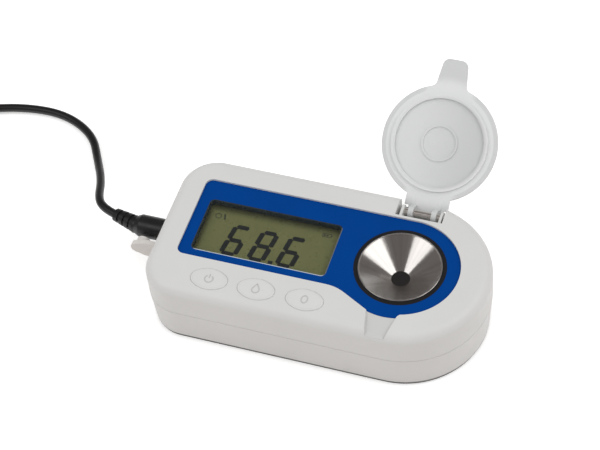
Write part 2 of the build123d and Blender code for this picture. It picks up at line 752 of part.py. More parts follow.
# The prism: a round head in the well's throat on a block with two sloping faces
prism_shoulder = block_top - seat_gap
with BuildPart() as prism:
    with BuildSketch(Plane.XZ.offset(-prism_breadth / 2)):
        with Locations((well_x, prism_shoulder)):
            Trapezoid(prism_length, prism_height, 54, rotation=180, align=(Align.CENTER, Align.MIN))
    extrude(amount=prism_breadth)
    with Locations((well_x, 0, prism_shoulder)):
        Cylinder(throat_radius - pressed_gap, prism_top - prism_shoulder - seat_gap,
                 align=(Align.CENTER, Align.CENTER, Align.MIN))
save(prism, "prism")

with BuildPart() as prism_seal:
    with BuildSketch(Plane.XY.offset(prism_shoulder + seat_gap)):
        with Locations((well_x, 0)):
            Circle(throat_radius + ring_width - seat_gap)
            Circle(throat_radius, mode=Mode.SUBTRACT)
    extrude(amount=seal_depth - seat_gap)
save(prism_seal, "prism_seal")

# The optics block: a plate on four posts, the prism's pocket and two sloping light paths
beam_origin = (well_x, 0, beam_top)
beam_run = math.cos(math.radians(beam_angle))
beam_drop = math.sin(math.radians(beam_angle))
lamp_plane = Plane(beam_origin, x_dir=(0, 1, 0), z_dir=(-beam_run, 0, -beam_drop))
sensor_plane = Plane(beam_origin, x_dir=(0, 1, 0), z_dir=(beam_run, 0, -beam_drop))
with BuildPart() as optics_block:
    with BuildSketch(Plane.XY.offset(block_top - block_plate_height)):
        with Locations((well_x, 0)):
            RectangleRounded(block_plate, block_plate, post_radius)
    extrude(amount=block_plate_height)
    with Locations((well_x, 0, block_top)):
        Box(block_length, block_breadth, block_height, align=(Align.CENTER, Align.CENTER, Align.MAX))
        Box(prism_length + 2 * fit_gap, prism_breadth + 2 * fit_gap, prism_height + seat_gap,
            mode=Mode.SUBTRACT,
            align=(Align.CENTER, Align.CENTER, Align.MAX))
    with BuildSketch(sensor_plane.offset(sensor_start)):
        Rectangle(2 * block_breadth, 2 * block_length)
    extrude(amount=block_length, mode=Mode.SUBTRACT)
    with BuildSketch(lamp_plane, sensor_plane):
        Circle(beam_radius)
    extrude(amount=block_length, mode=Mode.SUBTRACT)
    with BuildSketch(lamp_plane.offset(lamp_start - lens_thickness)):
        Circle(lamp_radius + pressed_gap)
    extrude(amount=block_length, mode=Mode.SUBTRACT)
    with BuildSketch(Plane.XY.offset(block_top - block_plate_height)):
        with Locations(*post_points):
            Circle(small_screw_radius + pressed_gap)
    extrude(amount=block_plate_height, mode=Mode.SUBTRACT)
    with Locations((well_x, probe_y, block_top)):
        Cylinder(probe_radius + pressed_gap, probe_length + seat_gap, mode=Mode.SUBTRACT,
                 align=(Align.CENTER, Align.CENTER, Align.MAX))
save(optics_block, "optics_block")

with BuildPart() as optics_screws:
    with Locations(*[(x, y, block_top - block_plate_height) for x, y in post_points]):
        screw(small_screw_radius, small_screw_length + block_plate_height - 1.0,
              small_head_radius, small_head_height)
save(optics_screws, "optics_screws")

with BuildPart() as beam_lens:
    with BuildSketch(lamp_plane.offset(lamp_start - lens_thickness + seat_gap)):
        Circle(lamp_radius)
    extrude(amount=lens_thickness - 2 * seat_gap)
save(beam_lens, "beam_lens")

with BuildPart() as light_source:
    with BuildSketch(lamp_plane.offset(lamp_start)):
        Circle(lamp_radius)
    extrude(amount=lamp_length)
save(light_source, "light_source")

with BuildPart() as sensor_board:
    with BuildSketch(sensor_plane.offset(sensor_start + sensor_height + seat_gap)):
        Rectangle(sensor_board_length, sensor_board_breadth)
    extrude(amount=sensor_board_thickness)
save(sensor_board, "sensor_board")

with BuildPart() as line_sensor:
    with BuildSketch(sensor_plane.offset(sensor_start + seat_gap)):
        Rectangle(sensor_breadth, sensor_length)
    extrude(amount=sensor_height)
save(line_sensor, "line_sensor")

with BuildPart() as temperature_probe:
    with Locations((well_x, probe_y, block_top)):
        Cylinder(probe_radius, probe_length, align=(Align.CENTER, Align.CENTER, Align.MAX))
save(temperature_probe, "temperature_probe")

# The battery, its foam pad, contacts, cover, cover gasket and cover screws
with BuildPart() as battery_pack:
    with Locations((battery_x, 0, battery_bottom)):
        Box(*battery_size, battery_height, align=(Align.CENTER, Align.CENTER, Align.MIN))
    fillet(battery_pack.edges().filter_by(Axis.X), battery_height / 4)
save(battery_pack, "battery_pack")

with BuildPart() as battery_pad:
    with Locations((battery_x, 0, pad_bottom)):
        Box(battery_size[0] * 0.8, battery_size[1] * 0.7, pad_thickness,
            align=(Align.CENTER, Align.CENTER, Align.MIN))
save(battery_pad, "battery_pad")

contact_x = battery_x + pocket_size[0] / 2 - seat_gap
with BuildPart() as battery_contacts:
    with Locations(*[(contact_x, k * contact_spacing, battery_bottom + 1.0) for k in (-1, 0, 1)]):
        Box(*contact_size, align=(Align.MAX, Align.CENTER, Align.MIN))
save(battery_contacts, "battery_contacts")

with BuildPart() as battery_cover:
    with BuildSketch(Plane.XY):
        with Locations((battery_x, 0)):
            RectangleRounded(cover_size[0] - 2 * fit_gap, cover_size[1] - 2 * fit_gap,
                             cover_corner - fit_gap)
        with Locations(*cover_screw_points):
            Circle(cover_screw_radius + fit_gap, mode=Mode.SUBTRACT)
    extrude(amount=cover_thickness)
    with Locations(*cover_screw_points):
        Cylinder(cover_head_radius + fit_gap, cover_head_height, mode=Mode.SUBTRACT,
                 align=(Align.CENTER, Align.CENTER, Align.MIN))
    with Locations((battery_x, -battery_size[1] / 4, cover_thickness),
                   (battery_x, battery_size[1] / 4, cover_thickness)):
        Box(battery_size[0] * 0.8, compartment_wall, cover_rib_height,
            align=(Align.CENTER, Align.CENTER, Align.MIN))
save(battery_cover, "battery_cover")

with BuildPart() as battery_gasket:
    with BuildSketch(Plane.XY.offset(cover_thickness)):
        with Locations((battery_x, 0)):
            Rectangle(pocket_size[0] + 2 * (fit_gap + cover_gasket_width),
                      pocket_size[1] + 2 * (fit_gap + cover_gasket_width))
            Rectangle(pocket_size[0] + 2 * fit_gap, pocket_size[1] + 2 * fit_gap, mode=Mode.SUBTRACT)
    extrude(amount=cover_gasket_thickness)
save(battery_gasket, "battery_gasket")

with BuildPart() as battery_cover_screws:
    with Locations(*[(x, y, cover_head_height) for x, y in cover_screw_points]):
        screw(cover_screw_radius, cover_screw_length, cover_head_radius, cover_head_height)
save(battery_cover_screws, "battery_cover_screws")

# The lid, drawn shut and then swung open about the hinge pin
lid_hinge = Axis((hinge_x, hinge_y, hinge_z), (1, 0, 0))
with BuildPart() as lid:
    with BuildSketch(Plane.XY.offset(lid_face)) as lid_plan:
        with Locations((hinge_x, 0)):
            Circle(lid_radius)
        with BuildLine():
            Polyline((hinge_x - tab_root_half, -lid_radius + 2.0),
                     (hinge_x - tab_tip_half, -lid_radius - tab_length),
                     (hinge_x + tab_tip_half, -lid_radius - tab_length),
                     (hinge_x + tab_root_half, -lid_radius + 2.0), close=True)
        make_face()
        fillet(lid_plan.vertices().group_by(Axis.Y)[0], tab_corner)
        fillet(lid_plan.vertices().sort_by_distance((hinge_x, -lid_radius)).filter_by(
            lambda corner: abs(corner.Y + lid_radius) < 2.0)[:2], tab_blend)
    extrude(amount=lid_thickness)
    fillet(lid.faces().sort_by(Axis.Z)[-1].edges(), lid_edge_radius)
    fillet(lid.faces().sort_by(Axis.Z)[0].edges(), lid_edge_radius / 2)
    for half, reach in ((neck_half, -neck_throat_length), (neck_throat_half, neck_tail)):
        with BuildSketch(Plane.YZ.offset(hinge_x - half)):
            with BuildLine():
                Polyline((hinge_y - lid_radius / 2, lid_face), (hinge_y - lid_radius / 2, neck_top),
                         (hinge_y + reach, neck_top), (hinge_y + reach, lid_face), close=True)
            profile = make_face()
            if reach > 0:
                neck_end = profile.vertices().sort_by_distance((hinge_y + reach, neck_top))[0]
                fillet(neck_end, lid_thickness * 0.7)
        extrude(amount=2 * half)
    for side in (-1, 1):
        with BuildSketch(Plane.YZ.offset(hinge_x + side * knuckle_inner)):
            with Locations((hinge_y, hinge_z)):
                Circle(knuckle_radius)
            with BuildLine():
                Polyline((hinge_y - knuckle_radius, hinge_z), (hinge_y + neck_tail, hinge_z),
                         (hinge_y + neck_tail, lid_face),
                         (hinge_y - knuckle_radius - 1.0, lid_face), close=True)
            make_face()
        extrude(amount=side * knuckle_width)
    with BuildSketch(Plane.YZ.offset(hinge_x - neck_half)):
        with Locations((hinge_y, hinge_z)):
            Circle(pin_radius + running_gap)
    extrude(amount=2 * neck_half, mode=Mode.SUBTRACT)
    with BuildSketch(Plane.XY.offset(lid_face - lid_rib_height)):
        with Locations((hinge_x, 0)):
            Circle(lid_rib_radius + lid_rib_width / 2)
            Circle(lid_rib_radius - lid_rib_width / 2, mode=Mode.SUBTRACT)
    extrude(amount=lid_rib_height)
    with BuildSketch(Plane.XY.offset(lid_face - lid_boss_height)):
        with Locations((hinge_x, 0)):
            Circle(lid_boss_radius)
            Circle(lid_boss_radius - lid_rib_width / 2, mode=Mode.SUBTRACT)
    extrude(amount=lid_boss_height)
lid.part = lid.part.rotate(lid_hinge, -lid_open_angle)
save(lid, "lid")

pin_half = neck_throat_half + ear_gap + ear_width
with BuildPart() as hinge_pin:
    with BuildSketch(Plane.YZ.offset(hinge_x - pin_half)):
        with Locations((hinge_y, hinge_z)):
            Circle(pin_radius)
    extrude(amount=2 * pin_half)
save(hinge_pin, "hinge_pin")

# The power jack behind the port, with its contact pin
plug_face_x = wall_x - 0.3
barrel_tip_x = plug_face_x + barrel_length
jack_depth = barrel_tip_x + 0.6 - jack_front_x
with BuildPart() as power_jack:
    with Locations((jack_front_x, port_y, port_z)):
        Box(jack_length, jack_side, jack_side, align=(Align.MIN, Align.CENTER, Align.CENTER))
    with BuildSketch(Plane.YZ.offset(jack_front_x)):
        with Locations((port_y, port_z)):
            Circle(barrel_radius + 0.08)
            Circle(jack_pin_radius, mode=Mode.SUBTRACT)
    extrude(amount=jack_depth, mode=Mode.SUBTRACT)
save(power_jack, "power_jack")

# The flap's strap, fixed in the wall, and the flap that swings at its end
with BuildPart() as flap_strap:
    with BuildSketch(Plane.XY.offset(port_z - flap_root_half_height)):
        with Locations((flap_x + 0.3, flap_y)):
            Rectangle(flap_strap_length - 0.3, flap_strap_thickness, align=(Align.MIN, Align.CENTER))
        with Locations((flap_x, flap_y)):
            Circle(flap_bead_radius + seat_gap, mode=Mode.SUBTRACT)
    extrude(amount=2 * flap_root_half_height)
save(flap_strap, "flap_strap")

with BuildPart() as port_flap:
    with BuildSketch(Plane.XY.offset(port_z - flap_root_half_height)):
        with Locations((flap_x, flap_y)):
            Circle(flap_bead_radius)
            Rectangle(flap_neck_length, flap_neck_thickness, align=(Align.MAX, Align.CENTER))
    extrude(amount=2 * flap_root_half_height)
    with BuildSketch(Plane.XZ.offset(-flap_y - flap_thickness / 2)):
        with BuildLine():
            flap_start = flap_x - flap_neck_length + 0.4
            bow = flap_x - flap_length / 2
            shoulder = flap_x - flap_length + flap_half_height * 0.7
            top_bow = ThreePointArc((flap_start, port_z + flap_root_half_height),
                                    (bow, port_z + flap_half_height),
                                    (shoulder, port_z + flap_half_height * 0.68))
            tip = ThreePointArc(top_bow @ 1, (flap_x - flap_length, port_z),
                                (shoulder, port_z - flap_half_height * 0.68))
            low_bow = ThreePointArc(tip @ 1, (bow, port_z - flap_half_height),
                                    (flap_start, port_z - flap_root_half_height))
            Line(low_bow @ 1, top_bow @ 0)
        make_face()
    extrude(amount=flap_thickness)
    boss_x = flap_x - (port_y - flap_y)
    with BuildSketch(Plane.XZ.offset(-flap_y - flap_thickness / 2)):
        with Locations((boss_x, port_z)):
            Circle(flap_boss_radius)
    extrude(amount=-flap_boss_height)
save(port_flap, "port_flap")

# The plug on the lead: a moulded grip with a metal barrel, and its ribbed strain relief
port_axis = Axis((0, port_y, port_z), (1, 0, 0))
relief_heading = math.radians(180 - relief_turn)
relief_dir = Vector(math.cos(relief_heading), math.sin(relief_heading), 0)
plug_end = Vector(plug_face_x - plug_length - plug_taper_length, port_y, port_z)
with BuildPart() as power_plug:
    with BuildSketch(Plane.XY.offset(port_z)):
        with BuildLine():
            Polyline((plug_face_x, port_y), (plug_face_x, port_y + plug_radius),
                     (plug_face_x - plug_length, port_y + plug_radius),
                     (plug_end.X, port_y + plug_tail_radius), (plug_end.X - 2.0, port_y + plug_tail_radius),
                     (plug_end.X - 2.0, port_y), close=True)
        make_face()
    revolve(axis=port_axis)
    split(bisect_by=Plane(plug_end, z_dir=relief_dir), keep=Keep.BOTTOM)
save(power_plug, "power_plug")

with BuildPart() as plug_barrel:
    with BuildSketch(Plane.YZ.offset(plug_face_x)):
        with Locations((port_y, port_z)):
            Circle(barrel_radius)
            Circle(barrel_bore_radius, mode=Mode.SUBTRACT)
    extrude(amount=barrel_length)
save(plug_barrel, "plug_barrel")

relief_plane = Plane(plug_end, z_dir=relief_dir)
relief_axis = Axis(plug_end, relief_dir)
slot_step = relief_length / (relief_slots + 0.6)
with BuildPart() as strain_relief:
    with BuildSketch(relief_plane):
        Circle(relief_radius)
    with BuildSketch(relief_plane.offset(relief_length)):
        Circle(relief_tip_radius)
    loft()
    for slot in range(relief_slots):
        depth = (slot + 0.55) * slot_step
        radius = relief_radius + (relief_tip_radius - relief_radius) * depth / relief_length
        with BuildSketch(relief_plane.offset(depth)):
            Circle(relief_radius + 1.0)
            Circle(radius - relief_slot_depth, mode=Mode.SUBTRACT)
            Rectangle(2 * relief_radius + 3.0, relief_slot_width, rotation=90.0 * (slot % 2),
                      mode=Mode.SUBTRACT)
        extrude(amount=relief_slot_width, mode=Mode.SUBTRACT)
save(strain_relief, "strain_relief")

# The lead's free stretch: down to the bench and away behind the left end
relief_end = plug_end + relief_dir * relief_length
bench = cord_diameter / 2
coil_low = bench + tie_thickness + tie_gap
coil_start = (coil_center[0] + cord_diameter, coil_center[1] + coil_outer_radius, coil_low)
cord_route = [relief_end, relief_end + relief_dir * 5.2, (-102.0, 15.4, 11.4), (-106.2, 28.1, 7.4),
              (-114.0, 41.5, 2.6), (-121.5, 54.5, 1.8), (-137.0, 62.5, 1.8), (-155.5, 62.0, 2.0),
              (coil_start[0] + 11.5, coil_start[1], coil_start[2]), coil_start]


def route_radii(points):
    """Largest arc that each corner's two runs allow."""
    vectors = [Vector(point) for point in points]
    radii = []
    for before, corner, after in zip(vectors, vectors[1:], vectors[2:]):
        turn = math.radians((corner - before).get_angle(after - corner))
        radii.append(0.45 * min((corner - before).length, (after - corner).length) / math.tan(turn / 2))
    return radii


def biarc(start, start_dir, end, end_dir):
    """Two tangent arcs from start to end, for a half or a quarter of a turn."""
    chord = end - start
    lean = start_dir + end_dir
    spread = 2 * (start_dir.dot(end_dir) - 1)
    if abs(spread) < 1e-9:
        reach = chord.dot(chord) / (2 * chord.dot(lean))
    else:
        middle = 2 * chord.dot(lean)
        reach = (middle - math.sqrt(middle * middle - 4 * spread * chord.dot(chord))) / (2 * spread)
    joint = (start + start_dir * reach + end - end_dir * reach) * 0.5
    first = TangentArc(start, joint, tangent=start_dir)
    second = TangentArc(joint, end, tangent=first % 1)
    return first, second


with BuildPart() as power_cord:
    radii = route_radii(cord_route)
    print("power_cord radii", [round(radius, 1) for radius in radii])
    with BuildLine() as cord_path:
        FilletPolyline(*cord_route, radius=radii)
    cord_wire = cord_path.wire()
    with BuildSketch(Plane(cord_wire @ 0, z_dir=cord_wire % 0)):
        Circle(cord_diameter / 2)
    sweep(path=cord_wire)
free_length = cord_wire.length
print("power_cord length", round(free_length, 1), "volume ratio",
      round(power_cord.part.volume / (free_length * math.pi * bench * bench), 4))
save(power_cord, "power_cord")

# The rest of the lead wound flat: in through one layer, up at the middle, out through the other
coil_high = coil_low + coil_pitch
half_turns = [coil_outer_radius - coil_pitch / 2 * k for k in range(2 * coil_turns_in)]
climb_radius = coil_outer_radius - coil_pitch * coil_turns_in
half_turns += [climb_radius] + [climb_radius + coil_pitch / 2 * k for k in range(1, 2 * coil_turns_in)]


def coil_point(across, along, height):
    """Point of the coil: across its start's radius, along its start's heading."""
    return Vector(coil_center[0] - along, coil_center[1] + across, height)


with BuildLine() as coil_path:
    across = coil_outer_radius
    height = coil_low
    heading = Vector(-1, 0, 0)
    here = coil_point(across, 0, height)
    Line(coil_point(across, -cord_diameter, height), here)
    for index, radius in enumerate(half_turns):
        across += 2 * radius if across < 0 else -2 * radius
        if index == 2 * coil_turns_in:
            height = coil_high
        target = coil_point(across, 0, height)
        biarc(here, heading, target, heading * -1)
        here = target
        heading = heading * -1
    target = coil_point(0, coil_outer_radius, height)
    biarc(here, heading, target, Vector(0, -1, 0))
    Line(target, target + Vector(0, -cord_diameter, 0))
coil_wire = coil_path.wire()
coil_length = coil_wire.length
with BuildPart() as cord_coil:
    with BuildSketch(Plane(coil_wire @ 0, z_dir=coil_wire % 0)):
        Circle(cord_diameter / 2)
    sweep(path=coil_wire)
samples = [coil_wire @ (k / 1500) for k in range(1501)]
apart = int(2.5 * cord_diameter / (coil_length / 1500))
least = min((samples[i] - samples[j]).length for i in range(0, 1501, 3) for j in range(i + apart, 1501, 3))
print("cord_coil length", round(coil_length, 1), "volume ratio",
      round(cord_coil.part.volume / (coil_length * math.pi * bench * bench), 4),
      "least gap", round(least - cord_diameter, 3))
save(cord_coil, "cord_coil")

# The short tail that comes down from the coil into the far plug
tail_start = coil_wire @ 1
usb_z = usb_body[2] / 2
tail_route = [tail_start, tail_start + Vector(0, -7.0, 0),
              Vector(tail_start.X + 0.6, tail_start.Y - 16.0, usb_z),
              Vector(tail_start.X + 0.6, tail_start.Y - 22.0, usb_z)]
with BuildPart() as cord_tail:
    radii = route_radii(tail_route)
    print("cord_tail radii", [round(radius, 1) for radius in radii])
    with BuildLine() as tail_path:
        FilletPolyline(*tail_route, radius=radii)
    tail_wire = tail_path.wire()
    with BuildSketch(Plane(tail_wire @ 0, z_dir=tail_wire % 0)):
        Circle(cord_diameter / 2)
    sweep(path=tail_wire)
tail_length = tail_wire.length
print("whole cord", round(free_length + coil_length + tail_length, 1))
save(cord_tail, "cord_tail")

# A flat tie round the coil's turns
tie_outer = coil_outer_radius + cord_diameter / 2 + tie_gap + tie_thickness
tie_inner = climb_radius - cord_diameter / 2 - 3 * tie_gap - tie_thickness
tie_top = coil_high + cord_diameter / 2 + tie_gap + tie_thickness
with BuildPart() as coil_tie:
    with BuildSketch(Plane.YZ.offset(coil_center[0] - tie_width / 2)):
        with Locations((coil_center[1] - (tie_outer + tie_inner) / 2, tie_top / 2)):
            RectangleRounded(tie_outer - tie_inner, tie_top, cord_diameter / 3)
            RectangleRounded(tie_outer - tie_inner - 2 * tie_thickness, tie_top - 2 * tie_thickness,
                             cord_diameter / 3 - tie_thickness, mode=Mode.SUBTRACT)
    extrude(amount=tie_width)
save(coil_tie, "coil_tie")

# The far plug: a moulded grip with its own relief, and a flat metal shell
usb_start = tail_wire @ 1
with BuildPart() as usb_plug:
    with BuildSketch(Plane(usb_start, x_dir=(1, 0, 0), z_dir=(0, -1, 0))):
        Circle(cord_diameter / 2 + 0.6)
    with BuildSketch(Plane(usb_start, x_dir=(1, 0, 0), z_dir=(0, -1, 0)).offset(usb_relief_length)):
        Circle(usb_relief_radius)
    loft()
    with Locations((usb_start.X, usb_start.Y - usb_relief_length, usb_start.Z)):
        Box(*usb_body, align=(Align.CENTER, Align.MAX, Align.CENTER))
    fillet(usb_plug.edges().filter_by(Axis.Y), usb_body_edge)
save(usb_plug, "usb_plug")

usb_front = Vector(usb_start.X, usb_start.Y - usb_relief_length - usb_body[1], usb_start.Z)
with BuildPart() as usb_connector:
    with Locations(usb_front):
        Box(*usb_shell, align=(Align.CENTER, Align.MAX, Align.CENTER))
        Box(usb_shell[0] - 2 * usb_shell_wall, usb_shell[1], usb_shell[2] - 2 * usb_shell_wall,
            mode=Mode.SUBTRACT,
            align=(Align.CENTER, Align.MAX, Align.CENTER))
    with Locations((usb_front.X, usb_front.Y, usb_front.Z + usb_shell[2] / 2 - usb_shell_wall)):
        Box(usb_shell[0] - 2 * usb_shell_wall, usb_shell[1] - 0.5, usb_tongue_height,
            align=(Align.CENTER, Align.MAX, Align.MAX))
    for side in (-1, 1):
        window_place = Vector(side * usb_window_spacing / 2, -usb_shell[1] / 2, -usb_shell[2] / 2)
        with Locations(usb_front + window_place):
            Box(usb_window, usb_window, 2 * usb_shell_wall, mode=Mode.SUBTRACT)
save(usb_connector, "usb_connector")
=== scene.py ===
import json
import math

import bmesh
import bpy
from mathutils import Matrix, Vector


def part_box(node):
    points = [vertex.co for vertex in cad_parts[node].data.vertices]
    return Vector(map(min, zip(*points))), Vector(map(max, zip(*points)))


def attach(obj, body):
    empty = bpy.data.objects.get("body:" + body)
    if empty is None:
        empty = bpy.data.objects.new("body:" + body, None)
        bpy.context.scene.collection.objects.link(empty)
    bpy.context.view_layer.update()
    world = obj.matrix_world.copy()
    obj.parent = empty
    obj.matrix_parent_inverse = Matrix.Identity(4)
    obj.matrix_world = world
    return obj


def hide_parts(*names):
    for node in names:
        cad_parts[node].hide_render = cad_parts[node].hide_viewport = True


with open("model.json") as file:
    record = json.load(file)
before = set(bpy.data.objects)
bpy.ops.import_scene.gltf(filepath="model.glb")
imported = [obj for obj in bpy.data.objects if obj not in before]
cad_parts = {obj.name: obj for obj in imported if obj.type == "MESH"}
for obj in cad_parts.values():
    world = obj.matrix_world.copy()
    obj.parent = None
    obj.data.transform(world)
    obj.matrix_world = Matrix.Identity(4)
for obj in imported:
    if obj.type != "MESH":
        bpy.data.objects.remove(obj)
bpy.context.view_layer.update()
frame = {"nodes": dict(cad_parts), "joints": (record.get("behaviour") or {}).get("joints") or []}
MM = 0.001


def node_box(name):
    """Low and high corner of a CAD node at rest, in millimetres."""
    return [[round(value / MM, 3) for value in corner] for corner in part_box(name)]


def node_middle(name):
    return [(low + high) / 2 for low, high in zip(*node_box(name))]


# Places of the casing, the window, the keys and the well, worked out from the CAD nodes, in millimetres.
# Sizes that a node's box doesn't give are typed beside them.
casing_low, casing_high = node_box("upper_casing")
CASING_TOP = casing_high[2]
face_high = node_box("faceplate")[1]
FACE_TOP = face_high[2]
DISPLAY_TOP = node_box("display_panel")[1][2]
# The pane reaches this far under the faceplate all round the window
PANE_MARGIN = 1.6
pane_low, pane_high = node_box("display_window")
WINDOW_LEFT = pane_low[0] + PANE_MARGIN
WINDOW_RIGHT = pane_high[0] - PANE_MARGIN
WINDOW_FRONT = pane_low[1] + PANE_MARGIN
WINDOW_BACK = pane_high[1] - PANE_MARGIN
WINDOW_CORNER = 2.0
KEY_PLACES = {name: node_middle(name + "_button")[0] for name in ("power", "measure", "adjust")}
KEY_Y = node_middle("measure_button")[1]
KEY_TOP = node_box("measure_button")[1][2]
KEY_HALF = (7.5, 5.0)
KEY_END_RADIUS = 3.7
KEY_GAP = 0.2
WELL_X = node_middle("sample_well")[0]

# Drain slot, from the faceplate's round end to the casing's front, its middle a little left of the well's
SLOT_X = WELL_X - 0.7
SLOT_FRONT = casing_low[1]
SLOT_BACK = -face_high[1]
SLOT_FRONT_HALF = 3.5
SLOT_BACK_HALF = 5.65
SLOT_DEEPEST = CASING_TOP - 2.2

# Lid, its radii about its own middle, and its pin
lid_hinge = next(joint for joint in frame["joints"] if joint["name"] == "lid_hinge")
LID_OPEN = math.radians(lid_hinge["range_deg"][1])
HINGE = Vector(node_middle("hinge_pin"))
LID_FACE = CASING_TOP + 0.2
LID_RIB_RADIUS = 18.2
LID_SKIRT_RADIUS = 20.8
LID_DISC_RADIUS = 22.5
LID_ARM_HALF = 8.0

# The lead, as in the CAD source
CORD_DIAMETER = 3.5
RELIEF_TURN = 15.0
PLUG_END = Vector((-81.9, 6.9, 12.0))
RELIEF_LENGTH = 10.2
COIL_CENTER = (-189.0, 29.2)
COIL_OUTER = 26.8
COIL_PITCH = 3.95
COIL_TURNS = 3
COIL_LOW = 2.47


# Pieces, shaped in millimetres

def link(name, data):
    obj = bpy.data.objects.new(name, data)
    bpy.context.scene.collection.objects.link(obj)
    return obj


def finish_piece(name, bm, body, material, smooth=False):
    """Turns a bmesh in millimetres into a piece that rides on a CAD body."""
    bmesh.ops.recalc_face_normals(bm, faces=bm.faces[:])
    bmesh.ops.scale(bm, vec=(MM, MM, MM), verts=bm.verts[:])
    for face in bm.faces:
        face.smooth = smooth
    mesh = bpy.data.meshes.new(name)
    bm.to_mesh(mesh)
    bm.free()
    mesh.materials.append(material)
    obj = link(name, mesh)
    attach(obj, body)
    return obj


def raise_faces(bm, faces, height):
    """Extrudes flat faces upwards into a closed solid."""
    grown = bmesh.ops.extrude_face_region(bm, geom=faces)["geom"]
    top = [part for part in grown if isinstance(part, bmesh.types.BMVert)]
    bmesh.ops.translate(bm, vec=(0, 0, height), verts=top)
    return top


def block(bm, low, high):
    """Box between two corners."""
    low = Vector(low)
    high = Vector(high)
    place = Matrix.Translation((low + high) / 2) @ Matrix.Diagonal((*(high - low), 1.0))
    bmesh.ops.create_cube(bm, size=1.0, matrix=place)


def pointed_bar(bm, start, end, half, bottom, height, gap=0.0):
    """Six-sided bar from one plan point to another, with a gap left at each tip."""
    run = Vector(end) - Vector(start)
    radius = half / math.cos(math.radians(30))
    verts = bmesh.ops.create_circle(bm, cap_ends=True, segments=6, radius=radius)["verts"]
    stretch = run.length / 2 - gap - radius
    for side in (-1, 1):
        bmesh.ops.translate(bm, vec=(0, side * stretch, 0), verts=[v for v in verts if v.co.y * side > 0])
    verts += raise_faces(bm, verts[0].link_faces[:], height)
    middle = (Vector(start) + Vector(end)) / 2
    turn = Matrix.Rotation(math.atan2(run.y, run.x) - math.pi / 2, 4, "Z")
    bmesh.ops.transform(bm, matrix=Matrix.Translation((*middle, bottom)) @ turn, verts=verts)


def oval_ring(bm, center, halves, width, bottom, height, steps=40):
    """Upright ring round an ellipse, given by its outer half sizes."""
    before = set(bm.verts)
    verts = bmesh.ops.create_circle(bm, cap_ends=True, segments=steps, radius=1.0)["verts"]
    bmesh.ops.scale(bm, vec=(*halves, 1.0), verts=verts)
    inner = verts[0].link_faces[0]
    band = bmesh.ops.inset_region(bm, faces=[inner], thickness=width, use_boundary=True,
                                  use_even_offset=True)["faces"]
    bmesh.ops.delete(bm, geom=[inner], context="FACES_ONLY")
    raise_faces(bm, band, height)
    bmesh.ops.translate(bm, vec=(*center, bottom), verts=[v for v in bm.verts if v not in before])


def spun_band(bm, center, radius, width, bottom, height, start, sweep, steps):
    """Upright band along an arc, angles in degrees."""
    section = bmesh.ops.create_grid(bm, x_segments=1, y_segments=1, size=0.5)["verts"]
    place = Matrix.Translation((radius, 0, height / 2)) @ Matrix.Rotation(math.pi / 2, 4, "X")
    turn = Matrix.Rotation(math.radians(start), 4, "Z")
    bmesh.ops.transform(bm, matrix=turn @ place @ Matrix.Diagonal((width, height, 1.0, 1.0)), verts=section)
    before = set(bm.verts) - set(section)
    face = section[0].link_faces[0]
    bmesh.ops.spin(bm, geom=[face] + face.edges[:] + section, cent=(0, 0, 0), axis=(0, 0, 1),
                   angle=math.radians(sweep), steps=steps)
    bmesh.ops.translate(bm, vec=(*center, bottom), verts=[v for v in bm.verts if v not in before])


# Materials

# Strength of the grey painted shade on the drain channel's floor
SLOT_SHADE = 0.3
# Height of the painted contact shadow along the casing's foot
FOOT_SHADOW_HEIGHT = 2.3
GROOVE_WIDTH = 0.14
GROOVE_DEPTH = 0.004


def linear(code):
    """Linear colour of an sRGB hex code."""
    values = [int(code[i:i + 2], 16) / 255 for i in (0, 2, 4)]
    return tuple(v / 12.92 if v <= 0.04045 else ((v + 0.055) / 1.055) ** 2.4 for v in values) + (1.0,)


def put(tree, kind, settings=None, inputs=None):
    """Adds a shader node, sets its properties, and fills or links its sockets."""
    node = tree.nodes.new("ShaderNode" + kind)
    for key, value in (settings or {}).items():
        setattr(node, key, value)
    for key, value in (inputs or {}).items():
        if isinstance(value, bpy.types.NodeSocket):
            tree.links.new(value, node.inputs[key])
        else:
            node.inputs[key].default_value = value
    return node


def math_of(tree, operation, first, second):
    return put(tree, "Math", {"operation": operation}, {0: first, 1: second}).outputs[0]


def noise(tree, place, size_mm, detail=3.0):
    """Noise whose blobs are about size_mm across."""
    blobs = put(tree, "TexNoise", None, {"Vector": place, "Scale": 1 / (size_mm * MM), "Detail": detail})
    return blobs.outputs["Fac"]


def spread(tree, value, low, high):
    """Stretches a noise's middle range over low to high."""
    return put(tree, "MapRange", None, {"Value": value, "From Min": 0.3, "From Max": 0.7, "To Min": low,
                                        "To Max": high}).outputs["Result"]


def ramp(tree, value, start, end, at_start, at_end):
    """Soft step of a length in metres, its ends given in millimetres."""
    return put(tree, "MapRange", {"interpolation_type": "SMOOTHSTEP"},
               {"Value": value, "From Min": start * MM, "From Max": end * MM, "To Min": at_start,
                "To Max": at_end}).outputs["Result"]


def axes_of(tree):
    place = put(tree, "TexCoord").outputs["Object"]
    return put(tree, "SeparateXYZ", None, {0: place}).outputs


